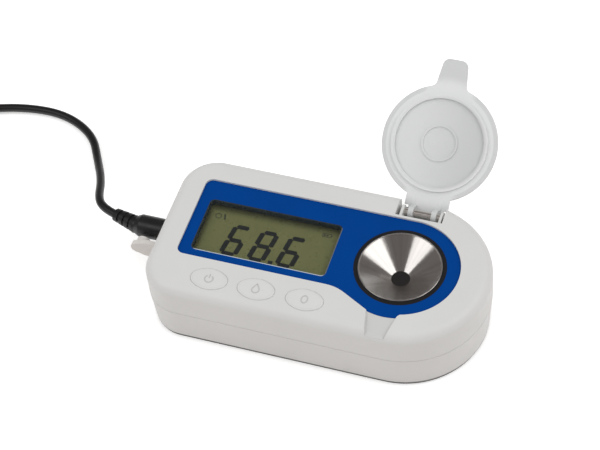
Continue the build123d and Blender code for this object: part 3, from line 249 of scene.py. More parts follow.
def material(name, color, rough, mottle=0.04, mottle_mm=9.0, rough_swing=0.05, rough_mm=4.0, grain=0.0,
             grain_mm=0.3, **sockets):
    """Principled material: colour mottled and roughness varied by noise, with a fine raised grain in mm."""
    mat = bpy.data.materials.new(name)
    mat.use_nodes = True
    tree = mat.node_tree
    shader = tree.nodes["Principled BSDF"]
    place = put(tree, "TexCoord").outputs["Object"]
    base = linear(color)
    dark = tuple(v * (1 - mottle) for v in base[:3]) + (1.0,)
    light = tuple(min(1.0, v * (1 + mottle)) for v in base[:3]) + (1.0,)
    tint = put(tree, "Mix", {"data_type": "RGBA"}, {0: spread(tree, noise(tree, place, mottle_mm), 0, 1),
                                                    6: dark, 7: light})
    tree.links.new(tint.outputs[2], shader.inputs["Base Color"])
    lowest = max(0.0, rough - rough_swing)
    roughness = spread(tree, noise(tree, place, rough_mm), lowest, rough + rough_swing)
    tree.links.new(roughness, shader.inputs["Roughness"])
    if grain:
        bump = put(tree, "Bump", None, {"Height": noise(tree, place, grain_mm, 2.0), "Strength": 1.0,
                                        "Distance": grain * MM})
        tree.links.new(bump.outputs["Normal"], shader.inputs["Normal"])
    for key, value in sockets.items():
        shader.inputs[key.replace("_", " ")].default_value = value
    return mat


def tinted(mat, other, share):
    """Mixes another colour into a material's own by a share that its tree works out."""
    tree = mat.node_tree
    color = tree.nodes["Principled BSDF"].inputs["Base Color"]
    own = color.links[0].from_socket
    mix = put(tree, "Mix", {"data_type": "RGBA"}, {0: share, 6: own, 7: linear(other)})
    tree.links.new(mix.outputs[2], color)
    return mat


def moulded_casing(name, color):
    """Off-white moulded plastic, with painted shade on the drain channel's floor and painted shadow along
    the foot.
    """
    mat = material(name, color, 0.45, mottle=0.015, mottle_mm=22.0, grain=0.008, grain_mm=0.5,
                   Specular_IOR_Level=0.35)
    tree = mat.node_tree
    axes = axes_of(tree)
    across = math_of(tree, "ABSOLUTE", math_of(tree, "SUBTRACT", axes["X"], SLOT_X * MM), 0.0)
    half = put(tree, "MapRange", None, {"Value": axes["Y"],
                                        "From Min": SLOT_FRONT * MM, "From Max": SLOT_BACK * MM,
                                        "To Min": SLOT_FRONT_HALF * MM, "To Max": SLOT_BACK_HALF * MM})
    past_side = math_of(tree, "SUBTRACT", across, half.outputs["Result"])
    # Painted shade on the channel's floor: inside its sides, below the casing's top, above its deepest
    # point, in front of its back end
    slot_shade = SLOT_SHADE
    for mask in (ramp(tree, past_side, -0.1, 0.2, 1.0, 0.0),
                 ramp(tree, axes["Z"], CASING_TOP - 0.6, CASING_TOP - 0.3, 1.0, 0.0),
                 ramp(tree, axes["Z"], SLOT_DEEPEST - 0.1, SLOT_DEEPEST + 0.1, 0.0, 1.0),
                 ramp(tree, axes["Y"], SLOT_BACK, SLOT_BACK + 1.0, 1.0, 0.0)):
        slot_shade = math_of(tree, "MULTIPLY", slot_shade, mask)
    # Mixes light grey painted shade into the channel's floor
    tinted(mat, "B4B4B4", slot_shade)
    # Painted contact shadow: dark grey-brown along the foot, full near the floor and fading out at the
    # band's top
    return tinted(mat, "403B38", ramp(tree, axes["Z"], FOOT_SHADOW_HEIGHT - 0.8, FOOT_SHADOW_HEIGHT, 0.95, 0.0))


def turned_steel(name, color, rough):
    """Bright steel with fine grooves turned round the well's axis, which draw light out into fans."""
    mat = material(name, color, rough, mottle=0.015, mottle_mm=2.0, rough_swing=0.01, Metallic=1.0,
                   Anisotropic=0.85, Anisotropic_Rotation=0.25)
    tree = mat.node_tree
    shader = tree.nodes["Principled BSDF"]
    tangent = put(tree, "Tangent", {"direction_type": "RADIAL", "axis": "Z"})
    tree.links.new(tangent.outputs["Tangent"], shader.inputs["Tangent"])
    place = put(tree, "TexCoord").outputs["Object"]
    axis = (WELL_X * MM, 0, 0)
    shifted = put(tree, "VectorMath", {"operation": "SUBTRACT"}, {0: place, 1: axis}).outputs[0]
    flat = put(tree, "VectorMath", {"operation": "MULTIPLY"}, {0: shifted, 1: (1, 1, 0)}).outputs[0]
    away = put(tree, "VectorMath", {"operation": "LENGTH"}, {0: flat}).outputs["Value"]
    turn = put(tree, "VectorMath", {"operation": "NORMALIZE"}, {0: flat}).outputs[0]
    streaks = put(tree, "TexNoise", None, {"Vector": turn, "Scale": 9.0, "Detail": 4.0}).outputs["Fac"]
    tinted(mat, "8F8782", spread(tree, streaks, 0.0, 0.3))
    rings = put(tree, "CombineXYZ", None, {"X": away}).outputs[0]
    grooves = noise(tree, rings, GROOVE_WIDTH, 2.0)
    bump = put(tree, "Bump", None, {"Height": grooves, "Strength": 0.6, "Distance": GROOVE_DEPTH * MM})
    tree.links.new(bump.outputs["Normal"], shader.inputs["Normal"])
    return mat


def clear_pane(name):
    """Thin clear acrylic that lets light straight through and shines only on its outer faces."""
    mat = bpy.data.materials.new(name)
    mat.use_nodes = True
    tree = mat.node_tree
    tree.nodes.remove(tree.nodes["Principled BSDF"])
    place = put(tree, "TexCoord").outputs["Object"]
    haze = spread(tree, noise(tree, place, 6.0), 0.02, 0.07)
    clear = put(tree, "BsdfTransparent", None, {"Color": (0.93, 0.95, 0.94, 1.0)})
    gloss = put(tree, "BsdfGlossy", None, {"Color": (1, 1, 1, 1), "Roughness": haze})
    fresnel = put(tree, "Fresnel", None, {"IOR": 1.45}).outputs[0]
    outside = math_of(tree, "SUBTRACT", 1.0, put(tree, "NewGeometry").outputs["Backfacing"])
    shine = math_of(tree, "MULTIPLY", fresnel, outside)
    mix = put(tree, "MixShader", None, {0: shine, 1: clear.outputs[0], 2: gloss.outputs[0]})
    tree.links.new(mix.outputs[0], tree.nodes["Material Output"].inputs["Surface"])
    return mat


def display_glass(name, color):
    """Grey-green display glass, darker towards its back and left edges, where the casing shades it."""
    mat = material(name, color, 0.3, mottle=0.03, mottle_mm=7.0)
    tree = mat.node_tree
    axes = axes_of(tree)
    back = ramp(tree, axes["Y"], WINDOW_BACK - 4.5, WINDOW_BACK, 0.0, 0.78)
    left = ramp(tree, axes["X"], WINDOW_LEFT, WINDOW_LEFT + 3.0, 0.6, 0.0)
    return tinted(mat, "1E211F", math_of(tree, "MAXIMUM", back, left))


def window_trim(name, color):
    """Pale moulded trim, in the faceplate's shade all round but for the front."""
    mat = material(name, color, 0.3, mottle=0.03, mottle_mm=5.0)
    tree = mat.node_tree
    axes = axes_of(tree)
    back = ramp(tree, axes["Y"], WINDOW_BACK - 2.5, WINDOW_BACK - 0.8, 0.0, 1.0)
    left = ramp(tree, axes["X"], WINDOW_LEFT + 0.8, WINDOW_LEFT + 2.5, 1.0, 0.0)
    right = ramp(tree, axes["X"], WINDOW_RIGHT - 1.4, WINDOW_RIGHT - 0.4, 0.0, 0.8)
    dark = math_of(tree, "MAXIMUM", math_of(tree, "MAXIMUM", back, left), right)
    return tinted(mat, "30383C", dark)


def frosted_lid(name, color):
    """Frosted polypropylene with painted shade, darker inside its rib towards the right, on its skirt
    beside the arm and on its tab, so lightest on the thin flange between its rib and its skirt.
    """
    mat = material(name, color, 0.32, mottle=0.008, mottle_mm=14.0, rough_swing=0.03, Alpha=0.9)
    tree = mat.node_tree
    place = put(tree, "TexCoord").outputs["Object"]
    swing = Matrix.Rotation(-LID_OPEN, 3, "X")
    middle = HINGE + swing @ (Vector((HINGE.x, 0, LID_FACE)) - HINGE)
    away = put(tree, "VectorMath", {"operation": "DISTANCE"}, {0: place, 1: middle * MM}).outputs["Value"]
    inside = ramp(tree, away, LID_RIB_RADIUS - 0.8, LID_RIB_RADIUS + 0.8, 1.0, 0.0)
    from_middle = math_of(tree, "SUBTRACT", axes_of(tree)["X"], HINGE.x * MM)
    right = ramp(tree, from_middle, -14.0, 16.0, 0.3, 1.0)
    aside = math_of(tree, "ABSOLUTE", from_middle, 0.0)
    beside_arm = ramp(tree, aside, LID_ARM_HALF, LID_ARM_HALF + 3.0, 0.0, 1.0)
    past_skirt = ramp(tree, away, LID_SKIRT_RADIUS, LID_SKIRT_RADIUS + 0.6, 0.0, 0.7)
    skirt = math_of(tree, "MULTIPLY", beside_arm, past_skirt)
    tab = ramp(tree, away, LID_DISC_RADIUS, LID_DISC_RADIUS + 4.5, 0.0, 0.8)
    shade = math_of(tree, "MULTIPLY", inside, right)
    for other in (skirt, tab):
        shade = math_of(tree, "MAXIMUM", shade, other)
    # Mixes grey painted shade into the lid by that mask
    return tinted(mat, "B8BABA", math_of(tree, "MULTIPLY", shade, 0.5))


# ABS, injection moulded: a satin, almost even off-white with a fine grain
casing_mat = moulded_casing("casing_abs", "D7D7D6")
key_mat = material("key_silicone", "D9D9D8", 0.4, mottle=0.012, grain=0.004, grain_mm=0.6,
                   Specular_IOR_Level=0.35)
# Polycarbonate film: a deep even blue with next to no shine
face_mat = material("faceplate_polycarbonate", "003F8B", 0.5, mottle=0.04, mottle_mm=14.0, grain=0.004,
                    grain_mm=0.25, Specular_IOR_Level=0.03)
pane_mat = clear_pane("window_acrylic")
lcd_mat = display_glass("display_glass", "79774F")
# Display ink: soft dark grey, the small signs fainter than the figures
segment_mat = material("display_figures", "26282A", 0.35, mottle=0.08, mottle_mm=2.0)
faint_mat = material("display_signs", "43443A", 0.35, mottle=0.08, mottle_mm=2.0)
trim_mat = window_trim("window_trim_abs", "B9C4CC")
# Black mouldings: ABS is half matt, PVC of the plug and cord a little glossier
black_mat = material("black_abs", "1B1B1C", 0.45, mottle=0.12, mottle_mm=3.0, grain=0.02, grain_mm=0.5)
plug_mat = material("plug_pvc", "1C1C1D", 0.38, mottle=0.12, mottle_mm=4.0, grain=0.03, grain_mm=0.7)
relief_mat = material("relief_pvc", "121213", 0.5, mottle=0.12, mottle_mm=3.0, grain=0.02, grain_mm=0.7)
cord_mat = material("cord_pvc", "151617", 0.4, mottle=0.12, mottle_mm=5.0, grain=0.015, grain_mm=0.8)
# Rubbers and foam: matt, the seals black, the gaskets pale as the casing
seal_mat = material("seal_rubber", "151518", 0.55, mottle=0.15, mottle_mm=2.5, grain=0.02, grain_mm=0.4)
gasket_mat = material("gasket_silicone", "D3D2CF", 0.6, mottle=0.03, mottle_mm=4.0)
pad_mat = material("foam_rubber", "4A4A4B", 0.8, mottle=0.15, mottle_mm=1.5, grain=0.05, grain_mm=0.5)
flap_mat = material("flap_rubber", "DCD8D4", 0.5, mottle=0.03, mottle_mm=4.0, grain=0.02, grain_mm=0.5)
# Electronics: mottled green solder mask, dull black epoxy packages
board_mat = material("board_laminate", "0F4A22", 0.4, mottle=0.2, mottle_mm=2.0, grain=0.01, grain_mm=0.4)
chip_mat = material("chip_epoxy", "202022", 0.6, mottle=0.1, mottle_mm=2.0, grain=0.02, grain_mm=0.25)
# Metals: turned well with a polished rim, bright screws, ground pin, nickel-plated plugs, brass contacts,
# black anodised block
well_mat = turned_steel("turned_steel", "D2CFCC", 0.2)
steel_mat = material("bright_steel", "C2BFBB", 0.26, mottle=0.06, mottle_mm=2.0, Metallic=1.0)
rim_mat = material("polished_steel", "E2DFDB", 0.2, mottle=0.02, mottle_mm=2.0, Metallic=1.0)
pin_mat = material("ground_steel", "E6E0DB", 0.3, mottle=0.02, mottle_mm=2.0, Metallic=1.0)
nickel_mat = material("nickel_plate", "C6C4BF", 0.18, mottle=0.05, mottle_mm=3.0, Metallic=1.0)
brass_mat = material("contact_brass", "B58B3C", 0.28, mottle=0.1, mottle_mm=2.0, Metallic=1.0)
block_mat = material("anodised_aluminium", "2A2A2C", 0.42, mottle=0.1, mottle_mm=2.0, Metallic=0.8)
# Optics: the dark prism keeps a glassy coat, the lens and lamp let light through
prism_mat = material("prism_glass", "1C1A1A", 0.12, mottle=0.1, mottle_mm=1.0, Coat_Weight=0.6)
lens_mat = material("lens_glass", "CFD6D8", 0.08, mottle=0.02, mottle_mm=1.0, Transmission_Weight=0.8)
lamp_mat = material("lamp_epoxy", "E08A1E", 0.15, mottle=0.05, mottle_mm=1.5, Transmission_Weight=0.4)
# Shrunk sleeve: thin dark blue film that follows the cells with a faint ripple
battery_mat = material("battery_sleeve", "1C2C4E", 0.35, mottle=0.1, mottle_mm=6.0, grain=0.02,
                       grain_mm=1.0)
# Lid: frosted polypropylene. Marks on the keys: the keypad's own silicone, a shade darker
lid_mat = frosted_lid("frosted_polypropylene", "EAECEC")
mark_mat = material("mark_silicone", "C2C2C0", 0.4, mottle=0.03, mottle_mm=2.0)

NODE_MATERIALS = {
    casing_mat: ("upper_casing", "lower_casing", "battery_cover"),
    gasket_mat: ("casing_gasket", "battery_gasket"),
    pad_mat: ("contact_strips", "battery_pad"),
    steel_mat: ("casing_screws", "board_screws", "optics_screws", "battery_cover_screws",
                "temperature_probe"),
    pin_mat: ("hinge_pin",),
    face_mat: ("faceplate",),
    pane_mat: ("display_window",),
    lcd_mat: ("display_panel",),
    black_mat: ("display_frame", "power_jack", "coil_tie"),
    board_mat: ("main_board", "sensor_board"),
    chip_mat: ("board_chips", "line_sensor", "key_switches"),
    key_mat: ("power_button", "measure_button", "adjust_button"),
    well_mat: ("sample_well",),
    seal_mat: ("well_ring", "prism_seal"),
    prism_mat: ("prism",),
    block_mat: ("optics_block",),
    lens_mat: ("beam_lens",),
    lamp_mat: ("light_source",),
    battery_mat: ("battery_pack",),
    brass_mat: ("battery_contacts",),
    lid_mat: ("lid",),
    flap_mat: ("flap_strap", "port_flap"),
    plug_mat: ("power_plug", "usb_plug"),
    relief_mat: ("strain_relief",),
    nickel_mat: ("plug_barrel", "usb_connector"),
    cord_mat: ("power_cord", "cord_coil", "cord_tail"),
}
for node_material, node_names in NODE_MATERIALS.items():
    for node_name in node_names:
        data = frame["nodes"][node_name].data
        data.materials.clear()
        data.materials.append(node_material)


# The lead: free stretch, coil and tail on one smooth spline

relief_angle = math.radians(180 - RELIEF_TURN)
relief_dir = Vector((math.cos(relief_angle), math.sin(relief_angle), 0))
relief_end = PLUG_END + relief_dir * RELIEF_LENGTH
coil_high = COIL_LOW + COIL_PITCH
POINTS_PER_HALF = 9
step_angle = math.pi / POINTS_PER_HALF
corner_share = math.cos(step_angle / 2)

route = [relief_end, relief_end + relief_dir * 5.2, (-102.0, 15.4, 11.4), (-106.2, 28.1, 7.4),
         (-114.0, 41.5, 2.6), (-121.5, 54.5, 1.8), (-137.0, 62.5, 1.8), (-155.5, 62.0, 2.0),
         (COIL_CENTER[0] + CORD_DIAMETER + 11.5, COIL_CENTER[1] + COIL_OUTER, COIL_LOW),
         (COIL_CENTER[0] + CORD_DIAMETER, COIL_CENTER[1] + COIL_OUTER, COIL_LOW)]
half_radii = [COIL_OUTER - COIL_PITCH / 2 * k for k in range(2 * COIL_TURNS)]
climb_radius = COIL_OUTER - COIL_PITCH * COIL_TURNS
half_radii += [climb_radius] + [climb_radius + COIL_PITCH / 2 * k for k in range(1, 2 * COIL_TURNS)]
across = COIL_OUTER
for index, radius in enumerate(half_radii):
    side = 1 if index % 2 == 0 else -1
    middle = across - side * radius
    for k in range(POINTS_PER_HALF):
        angle = (k + 0.5) * step_angle
        climb = min(max(index - 2 * COIL_TURNS + (k + 0.5) / POINTS_PER_HALF, 0.0), 1.0)
        reach = side * radius / corner_share
        route.append((COIL_CENTER[0] - reach * math.sin(angle),
                      COIL_CENTER[1] + middle + reach * math.cos(angle), COIL_LOW + COIL_PITCH * climb))
    across -= 2 * side * radius
last_side = 1 if len(half_radii) % 2 == 0 else -1
for k in range(POINTS_PER_HALF // 2):
    angle = (k + 0.5) * step_angle
    reach = last_side * COIL_OUTER / corner_share
    route.append((COIL_CENTER[0] - reach * math.sin(angle),
                  COIL_CENTER[1] + across - last_side * COIL_OUTER + reach * math.cos(angle), coil_high))
tail_x = COIL_CENTER[0] - COIL_OUTER
tail_y = COIL_CENTER[1] - CORD_DIAMETER
route += [(tail_x, tail_y, coil_high), (tail_x, tail_y - 7.0, coil_high),
          (tail_x + 0.6, tail_y - 16.0, 4.3), (tail_x + 0.6, tail_y - 22.0, 4.3)]

curve = bpy.data.curves.new("power_lead", "CURVE")
curve.dimensions = "3D"
spline = curve.splines.new("NURBS")
spline.points.add(len(route) - 1)
for point, place in zip(spline.points, route):
    point.co = (place[0] * MM, place[1] * MM, place[2] * MM, 1.0)
spline.order_u = 3
spline.use_endpoint_u = True
spline.resolution_u = 8
curve.bevel_depth = CORD_DIAMETER / 2 * MM
curve.bevel_resolution = 6
curve.use_fill_caps = True
curve.materials.append(cord_mat)
lead = link("power_lead", curve)
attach(lead, "lead")
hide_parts("power_cord", "cord_coil", "cord_tail")


# The display: slanted seven-segment figures, a decimal point and two small signs

SLANT = 0.14
INK_BOTTOM = DISPLAY_TOP + 0.02
INK = 0.03
SEGMENTS = {"a": ("tl", "tr"), "b": ("tr", "mr"), "c": ("mr", "br"), "d": ("bl", "br"), "e": ("ml", "bl"),
            "f": ("tl", "ml"), "g": ("ml", "mr")}
LIT = {"6": "afgedc", "8": "abcdefg"}
CORNERS = {"tl": (0, 1), "tr": (1, 1), "ml": (0, 0.5), "mr": (1, 0.5), "bl": (0, 0), "br": (1, 0)}
FIGURE_LOW = -8.6
FIGURE_WIDE = 5.6
FIGURE_TALL = 13.4
FIGURE_HALF = 0.98
FIGURES = (("6", -39.0), ("8", -27.8), ("6", -16.4))
POINT_LOW = (-19.9, -9.5, INK_BOTTOM)
POINT_HIGH = (-18.1, -7.7, INK_BOTTOM + INK)
RING_SIGN = (-45.6, 8.1)
RING_SIGN_HALVES = (1.3, 1.3)
STROKE_SIGN = ((-43.4, 9.5), (-42.6, 6.7))
# Outline of the battery sign, its tip and its two cells: low and high corners
SIGN_BARS = ((-3.6, 10.1, 0.0, 10.35), (-3.6, 8.55, 0.0, 8.8), (-3.6, 8.8, -3.35, 10.1),
             (-0.25, 8.8, 0.0, 10.1), (0.0, 9.1, 0.35, 9.8), (-3.1, 9.05, -2.3, 9.85),
             (-2.0, 9.05, -1.2, 9.85))

bm = bmesh.new()
for digit, left in FIGURES:
    spots = {key: (left + u * FIGURE_WIDE + v * FIGURE_TALL * SLANT, FIGURE_LOW + v * FIGURE_TALL)
             for key, (u, v) in CORNERS.items()}
    for name in LIT[digit]:
        start, end = SEGMENTS[name]
        pointed_bar(bm, spots[start], spots[end], FIGURE_HALF, INK_BOTTOM, INK, gap=0.25)
block(bm, POINT_LOW, POINT_HIGH)
finish_piece("display_digits", bm, "casing", segment_mat)

bm = bmesh.new()
for x0, y0, x1, y1 in SIGN_BARS:
    block(bm, (x0, y0, INK_BOTTOM), (x1, y1, INK_BOTTOM + INK))
oval_ring(bm, RING_SIGN, RING_SIGN_HALVES, 0.32, INK_BOTTOM, INK)
pointed_bar(bm, *STROKE_SIGN, 0.35, INK_BOTTOM, INK)
finish_piece("display_signs", bm, "casing", faint_mat)

# Narrow trim round the window's edge, which lines the opening down to the display
TRIM_WIDTH = 0.36
TRIM_HEIGHT = 2.7
TRIM_DROP = 0.04
bm = bmesh.new()
corners = bmesh.ops.create_grid(bm, x_segments=1, y_segments=1, size=0.5)["verts"]
bmesh.ops.scale(bm, vec=(WINDOW_RIGHT - WINDOW_LEFT, WINDOW_BACK - WINDOW_FRONT, 1.0), verts=corners)
bmesh.ops.bevel(bm, geom=corners, offset=WINDOW_CORNER, offset_type="OFFSET", segments=8, profile=0.5,
                affect="VERTICES", material=-1)
opening = bm.faces[:][0]
trim = bmesh.ops.inset_region(bm, faces=[opening], thickness=TRIM_WIDTH, use_boundary=True,
                              use_even_offset=True)["faces"]
bmesh.ops.delete(bm, geom=[opening], context="FACES_ONLY")
raise_faces(bm, trim, TRIM_HEIGHT)
trim_place = ((WINDOW_LEFT + WINDOW_RIGHT) / 2, (WINDOW_FRONT + WINDOW_BACK) / 2,
              FACE_TOP - TRIM_HEIGHT - TRIM_DROP)
bmesh.ops.translate(bm, vec=trim_place, verts=bm.verts[:])
finish_piece("window_trim", bm, "casing", trim_mat)


# The keys: a raised pad with a soft edge, a mark on it, and the rim of the keypad in the gap round each

PAD_HALF = (6.5, 4.15)
PAD_RISE = 0.12
PAD_FOOT = 0.3
MARK_TOP = KEY_TOP + PAD_RISE + 0.1
MARK_BOTTOM = KEY_TOP - 0.02
MARK_HEIGHT = MARK_TOP - MARK_BOTTOM
KEYPAD_RIM_WIDTH = KEY_GAP * 0.75
KEYPAD_RIM_HEIGHT = 0.4
KEYPAD_RIM_BOTTOM = CASING_TOP - 0.1 - KEYPAD_RIM_HEIGHT


def key_pad(bm, key_x):
    verts = bmesh.ops.create_circle(bm, cap_ends=True, segments=96, radius=1.0)["verts"]
    bmesh.ops.scale(bm, vec=(*PAD_HALF, 1.0), verts=verts)
    top = raise_faces(bm, verts[0].link_faces[:], PAD_RISE + PAD_FOOT)
    rim = [edge for edge in bm.edges if all(vert in top for vert in edge.verts)]
    bmesh.ops.bevel(bm, geom=rim, offset=0.2, offset_type="OFFSET", segments=4, profile=0.5, affect="EDGES",
                    material=-1)
    bmesh.ops.translate(bm, vec=(key_x, KEY_Y, KEY_TOP - PAD_FOOT), verts=bm.verts[:])


def keypad_rim(bm, key_x):
    """Ring of four arcs that lies against the wall of the key's hole, just under the casing's top."""
    inset = KEYPAD_RIM_WIDTH / 2 + 0.005
    end = KEY_END_RADIUS - inset
    half_x = KEY_HALF[0] - inset
    half_y = KEY_HALF[1] - inset
    end_x = half_x - end
    side = (end_x ** 2 + half_y ** 2 - end ** 2) / (2 * (half_y - end))
    turn = math.degrees(math.atan2(side - half_y, end_x))
    for way in (0, 180):
        sign = 1 if way == 0 else -1
        spun_band(bm, (key_x + sign * end_x, KEY_Y), end, KEYPAD_RIM_WIDTH, KEYPAD_RIM_BOTTOM,
                  KEYPAD_RIM_HEIGHT, way - turn, 2 * turn, 20)
        spun_band(bm, (key_x, KEY_Y - sign * (side - half_y)), side, KEYPAD_RIM_WIDTH, KEYPAD_RIM_BOTTOM,
                  KEYPAD_RIM_HEIGHT, turn - way, 180 - 2 * turn, 24)


bm = bmesh.new()
for key_x in KEY_PLACES.values():
    keypad_rim(bm, key_x)
finish_piece("keypad_rims", bm, "casing", key_mat)
for name, key_x in KEY_PLACES.items():
    bm = bmesh.new()
    key_pad(bm, key_x)
    finish_piece(name + "_pad", bm, name + "_key", key_mat, smooth=True)

# Marks: a broken ring with a bar in its gap, a drop and an oval ring
MARK_STROKE = 0.42
POWER_RING = 1.6
POWER_RING_GAP = 70
DROP_STROKE = 0.4
DROP_RADIUS = 1.4
DROP_SHOULDER = 30
DROP_TIP = KEY_Y + 2.3
OVAL_HALVES = (1.4, 1.85)

bm = bmesh.new()
key_x = KEY_PLACES["power"]
spun_band(bm, (key_x, KEY_Y - 0.15), POWER_RING, MARK_STROKE, MARK_BOTTOM, MARK_HEIGHT,
          90 + POWER_RING_GAP / 2, 360 - POWER_RING_GAP, 32)
pointed_bar(bm, (key_x, KEY_Y + 0.25), (key_x, KEY_Y + 2.1), MARK_STROKE / 2, MARK_BOTTOM, MARK_HEIGHT)
finish_piece("power_mark", bm, "power_key", mark_mat)

bm = bmesh.new()
drop = Vector((KEY_PLACES["measure"], KEY_Y - 0.5))
spun_band(bm, drop, DROP_RADIUS, DROP_STROKE, MARK_BOTTOM, MARK_HEIGHT, 180 - DROP_SHOULDER,
          180 + 2 * DROP_SHOULDER, 28)
shoulder = math.radians(DROP_SHOULDER)
for side in (-1, 1):
    foot = drop + DROP_RADIUS * Vector((side * math.cos(shoulder), math.sin(shoulder)))
    pointed_bar(bm, foot, (drop.x, DROP_TIP), DROP_STROKE / 2, MARK_BOTTOM, MARK_HEIGHT)
finish_piece("measure_mark", bm, "measure_key", mark_mat)

bm = bmesh.new()
oval_ring(bm, (KEY_PLACES["adjust"], KEY_Y), OVAL_HALVES, MARK_STROKE, MARK_BOTTOM, MARK_HEIGHT)
finish_piece("adjust_mark", bm, "adjust_key", mark_mat)

# Rolled edge of the steel well, which stands a little above the soft ring
WELL_RIM_OUTER = 16.02
WELL_RIM_TOP = FACE_TOP + 0.5
WELL_RIM_WIDTH = 0.6
WELL_RIM_HEIGHT = 0.55
bm = bmesh.new()
oval_ring(bm, (WELL_X, 0), (WELL_RIM_OUTER, WELL_RIM_OUTER), WELL_RIM_WIDTH, WELL_RIM_TOP - WELL_RIM_HEIGHT,
          WELL_RIM_HEIGHT, steps=128)
sharp = [edge for edge in bm.edges if edge.is_manifold and edge.calc_face_angle() > 1.0]
bmesh.ops.bevel(bm, geom=sharp, offset=0.24, offset_type="OFFSET", segments=6, profile=0.5, affect="EDGES",
                material=-1)
finish_piece("well_rim", bm, "casing", rim_mat, smooth=True)

# Two low ribs on the underside of the lid's arm, drawn shut and swung open with the lid
ARM_RIB_OFFSET = 5.4
ARM_RIB_Y = HINGE.y - 5.0
ARM_RIB_HALF = (1.0, 2.6, 0.17, 1.0)
bm = bmesh.new()
for side in (-1, 1):
    place = Matrix.Translation((HINGE.x + side * ARM_RIB_OFFSET, ARM_RIB_Y, LID_FACE))
    bmesh.ops.create_uvsphere(bm, u_segments=32, v_segments=16, radius=1.0,
                              matrix=place @ Matrix.Diagonal(ARM_RIB_HALF))
bmesh.ops.rotate(bm, cent=HINGE, matrix=Matrix.Rotation(-LID_OPEN, 3, "X"), verts=bm.verts[:])
finish_piece("lid_arm_ribs", bm, "lid_body", lid_mat, smooth=True)


# Floor, world and lamps. Rays that show the background find white, rays that light the object find a
# plain grey room.

SHOWING = ("Is Camera Ray", "Is Glossy Ray", "Is Transmission Ray")
FLOOR_REACH = 3.0
FLOOR_GLOW = 0.37
ROOM = 0.72
WALL_GLOW = 0.185
WALL_RADIUS = 2.5
WALL_FOOT = 0.15
WALL_HEIGHT = 1.65
WELL_MIDDLE = Vector((WELL_X * MM, 0, 0.025))


def showing_rays(tree):
    rays = put(tree, "LightPath").outputs
    seen = rays[SHOWING[0]]
    for kind in SHOWING[1:]:
        seen = math_of(tree, "MAXIMUM", seen, rays[kind])
    return seen


def bare_material(name):
    mat = bpy.data.materials.new(name)
    mat.use_nodes = True
    mat.node_tree.nodes.remove(mat.node_tree.nodes["Principled BSDF"])
    return mat, mat.node_tree


def stage_piece(name, bm, mat):
    mesh = bpy.data.meshes.new(name)
    bm.to_mesh(mesh)
    bm.free()
    mesh.materials.append(mat)
    obj = link(name, mesh)
    return obj


floor_mat, tree = bare_material("white_paper")
paper = put(tree, "BsdfDiffuse", None, {"Color": (0.77, 0.72, 0.70, 1.0)})
shown_paper = put(tree, "BsdfDiffuse", None, {"Color": (1.0, 1.0, 1.0, 1.0)})
glow = put(tree, "Emission", None, {"Color": (1, 1, 1, 1), "Strength": FLOOR_GLOW})
shown = put(tree, "AddShader", None, {0: shown_paper.outputs[0], 1: glow.outputs[0]})
both = put(tree, "MixShader", None, {0: showing_rays(tree), 1: paper.outputs[0], 2: shown.outputs[0]})
tree.links.new(both.outputs[0], tree.nodes["Material Output"].inputs["Surface"])
bm = bmesh.new()
bmesh.ops.create_grid(bm, x_segments=1, y_segments=1, size=FLOOR_REACH,
                      matrix=Matrix.Translation((0, 0, -0.0001)))
stage_piece("floor", bm, floor_mat)

# Dim studio walls and ceiling round the lamps, which only reflections find
studio_mat, tree = bare_material("studio_paint")
dusk = put(tree, "Emission", None, {"Color": (1.0, 0.93, 0.9, 1), "Strength": WALL_GLOW})
tree.links.new(dusk.outputs[0], tree.nodes["Material Output"].inputs["Surface"])
bm = bmesh.new()
bmesh.ops.create_cone(bm, cap_ends=True, segments=64, radius1=WALL_RADIUS, radius2=WALL_RADIUS,
                      depth=WALL_HEIGHT, matrix=Matrix.Translation((0, 0, WALL_FOOT + WALL_HEIGHT / 2)))
bmesh.ops.delete(bm, geom=[face for face in bm.faces if face.normal.z < -0.5], context="FACES_ONLY")
studio = stage_piece("studio_walls", bm, studio_mat)
studio.visible_camera = False
studio.visible_diffuse = False
studio.visible_transmission = False
studio.visible_shadow = False

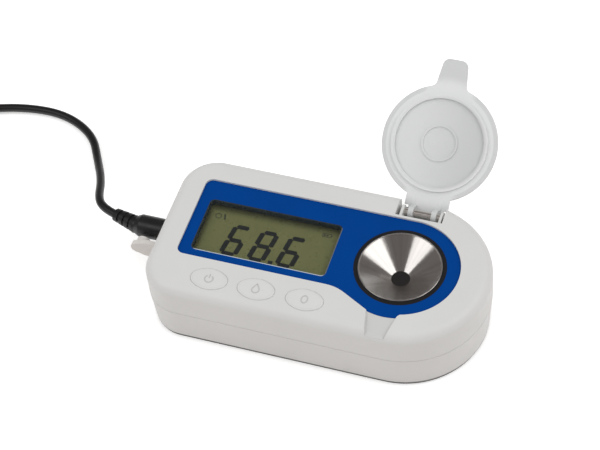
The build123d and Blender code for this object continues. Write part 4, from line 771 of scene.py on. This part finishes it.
world = bpy.data.worlds.new("studio")
bpy.context.scene.world = world
world.use_nodes = True
tree = world.node_tree
dim = put(tree, "Background", None, {"Color": (1.0, 0.995, 0.985, 1), "Strength": ROOM})
white = put(tree, "Background", None, {"Color": (1, 1, 1, 1), "Strength": 1.0})
sky = put(tree, "MixShader", None, {0: showing_rays(tree), 1: dim.outputs[0], 2: white.outputs[0]})
tree.links.new(sky.outputs[0], tree.nodes["World Output"].inputs["Surface"])


def softbox(name, toward, along, length, width, glow):
    """Rectangular lamp one metre off the well in a direction, its length turned along a second one."""
    data = bpy.data.lights.new(name, "AREA")
    data.shape = "RECTANGLE"
    data.size = length
    data.size_y = width
    data.energy = glow * length * width * math.pi
    obj = link(name, data)
    back = Vector(toward).normalized()
    side = Vector(along)
    side = (side - back * side.dot(back)).normalized()
    turn = Matrix((side, back.cross(side), back)).transposed().to_4x4()
    obj.matrix_world = Matrix.Translation(WELL_MIDDLE + back) @ turn
    return obj


softbox("right_softbox", (0.578, 0.146, 0.803), (0.23, 0.82, -0.31), 0.70, 0.5, 2.0)
softbox("left_softbox", (-0.549, -0.333, 0.766), (0.52, -0.33, 0.23), 0.62, 0.44, 1.75)

# Camera at the photograph's angle
AZIMUTH = math.radians(22.98878)
ELEVATION = math.radians(51.62693)
ROLL = math.radians(-6.57628)
FOCAL_PIXELS = 1885.899
IMAGE_WIDTH = 600
SENSOR = 36.0
DISTANCE = 747.851
TARGET = Vector((-18.3298, 23.1757, 12.0))
back = Vector((math.sin(AZIMUTH) * math.cos(ELEVATION), -math.cos(AZIMUTH) * math.cos(ELEVATION),
               math.sin(ELEVATION)))
right = Vector((math.cos(AZIMUTH), math.sin(AZIMUTH), 0))
up = back.cross(right)
right_rolled = right * math.cos(ROLL) + up * math.sin(ROLL)
up_rolled = up * math.cos(ROLL) - right * math.sin(ROLL)
camera_data = bpy.data.cameras.new("camera")
camera_data.sensor_width = SENSOR
camera_data.lens = FOCAL_PIXELS / IMAGE_WIDTH * SENSOR
camera_data.clip_start = 0.01
camera = link("camera", camera_data)
turn = Matrix((right_rolled, up_rolled, back)).transposed().to_4x4()
camera.matrix_world = Matrix.Translation((TARGET + back * DISTANCE) * MM) @ turn
bpy.context.scene.camera = camera
bpy.context.scene.view_settings.view_transform = "Standard"
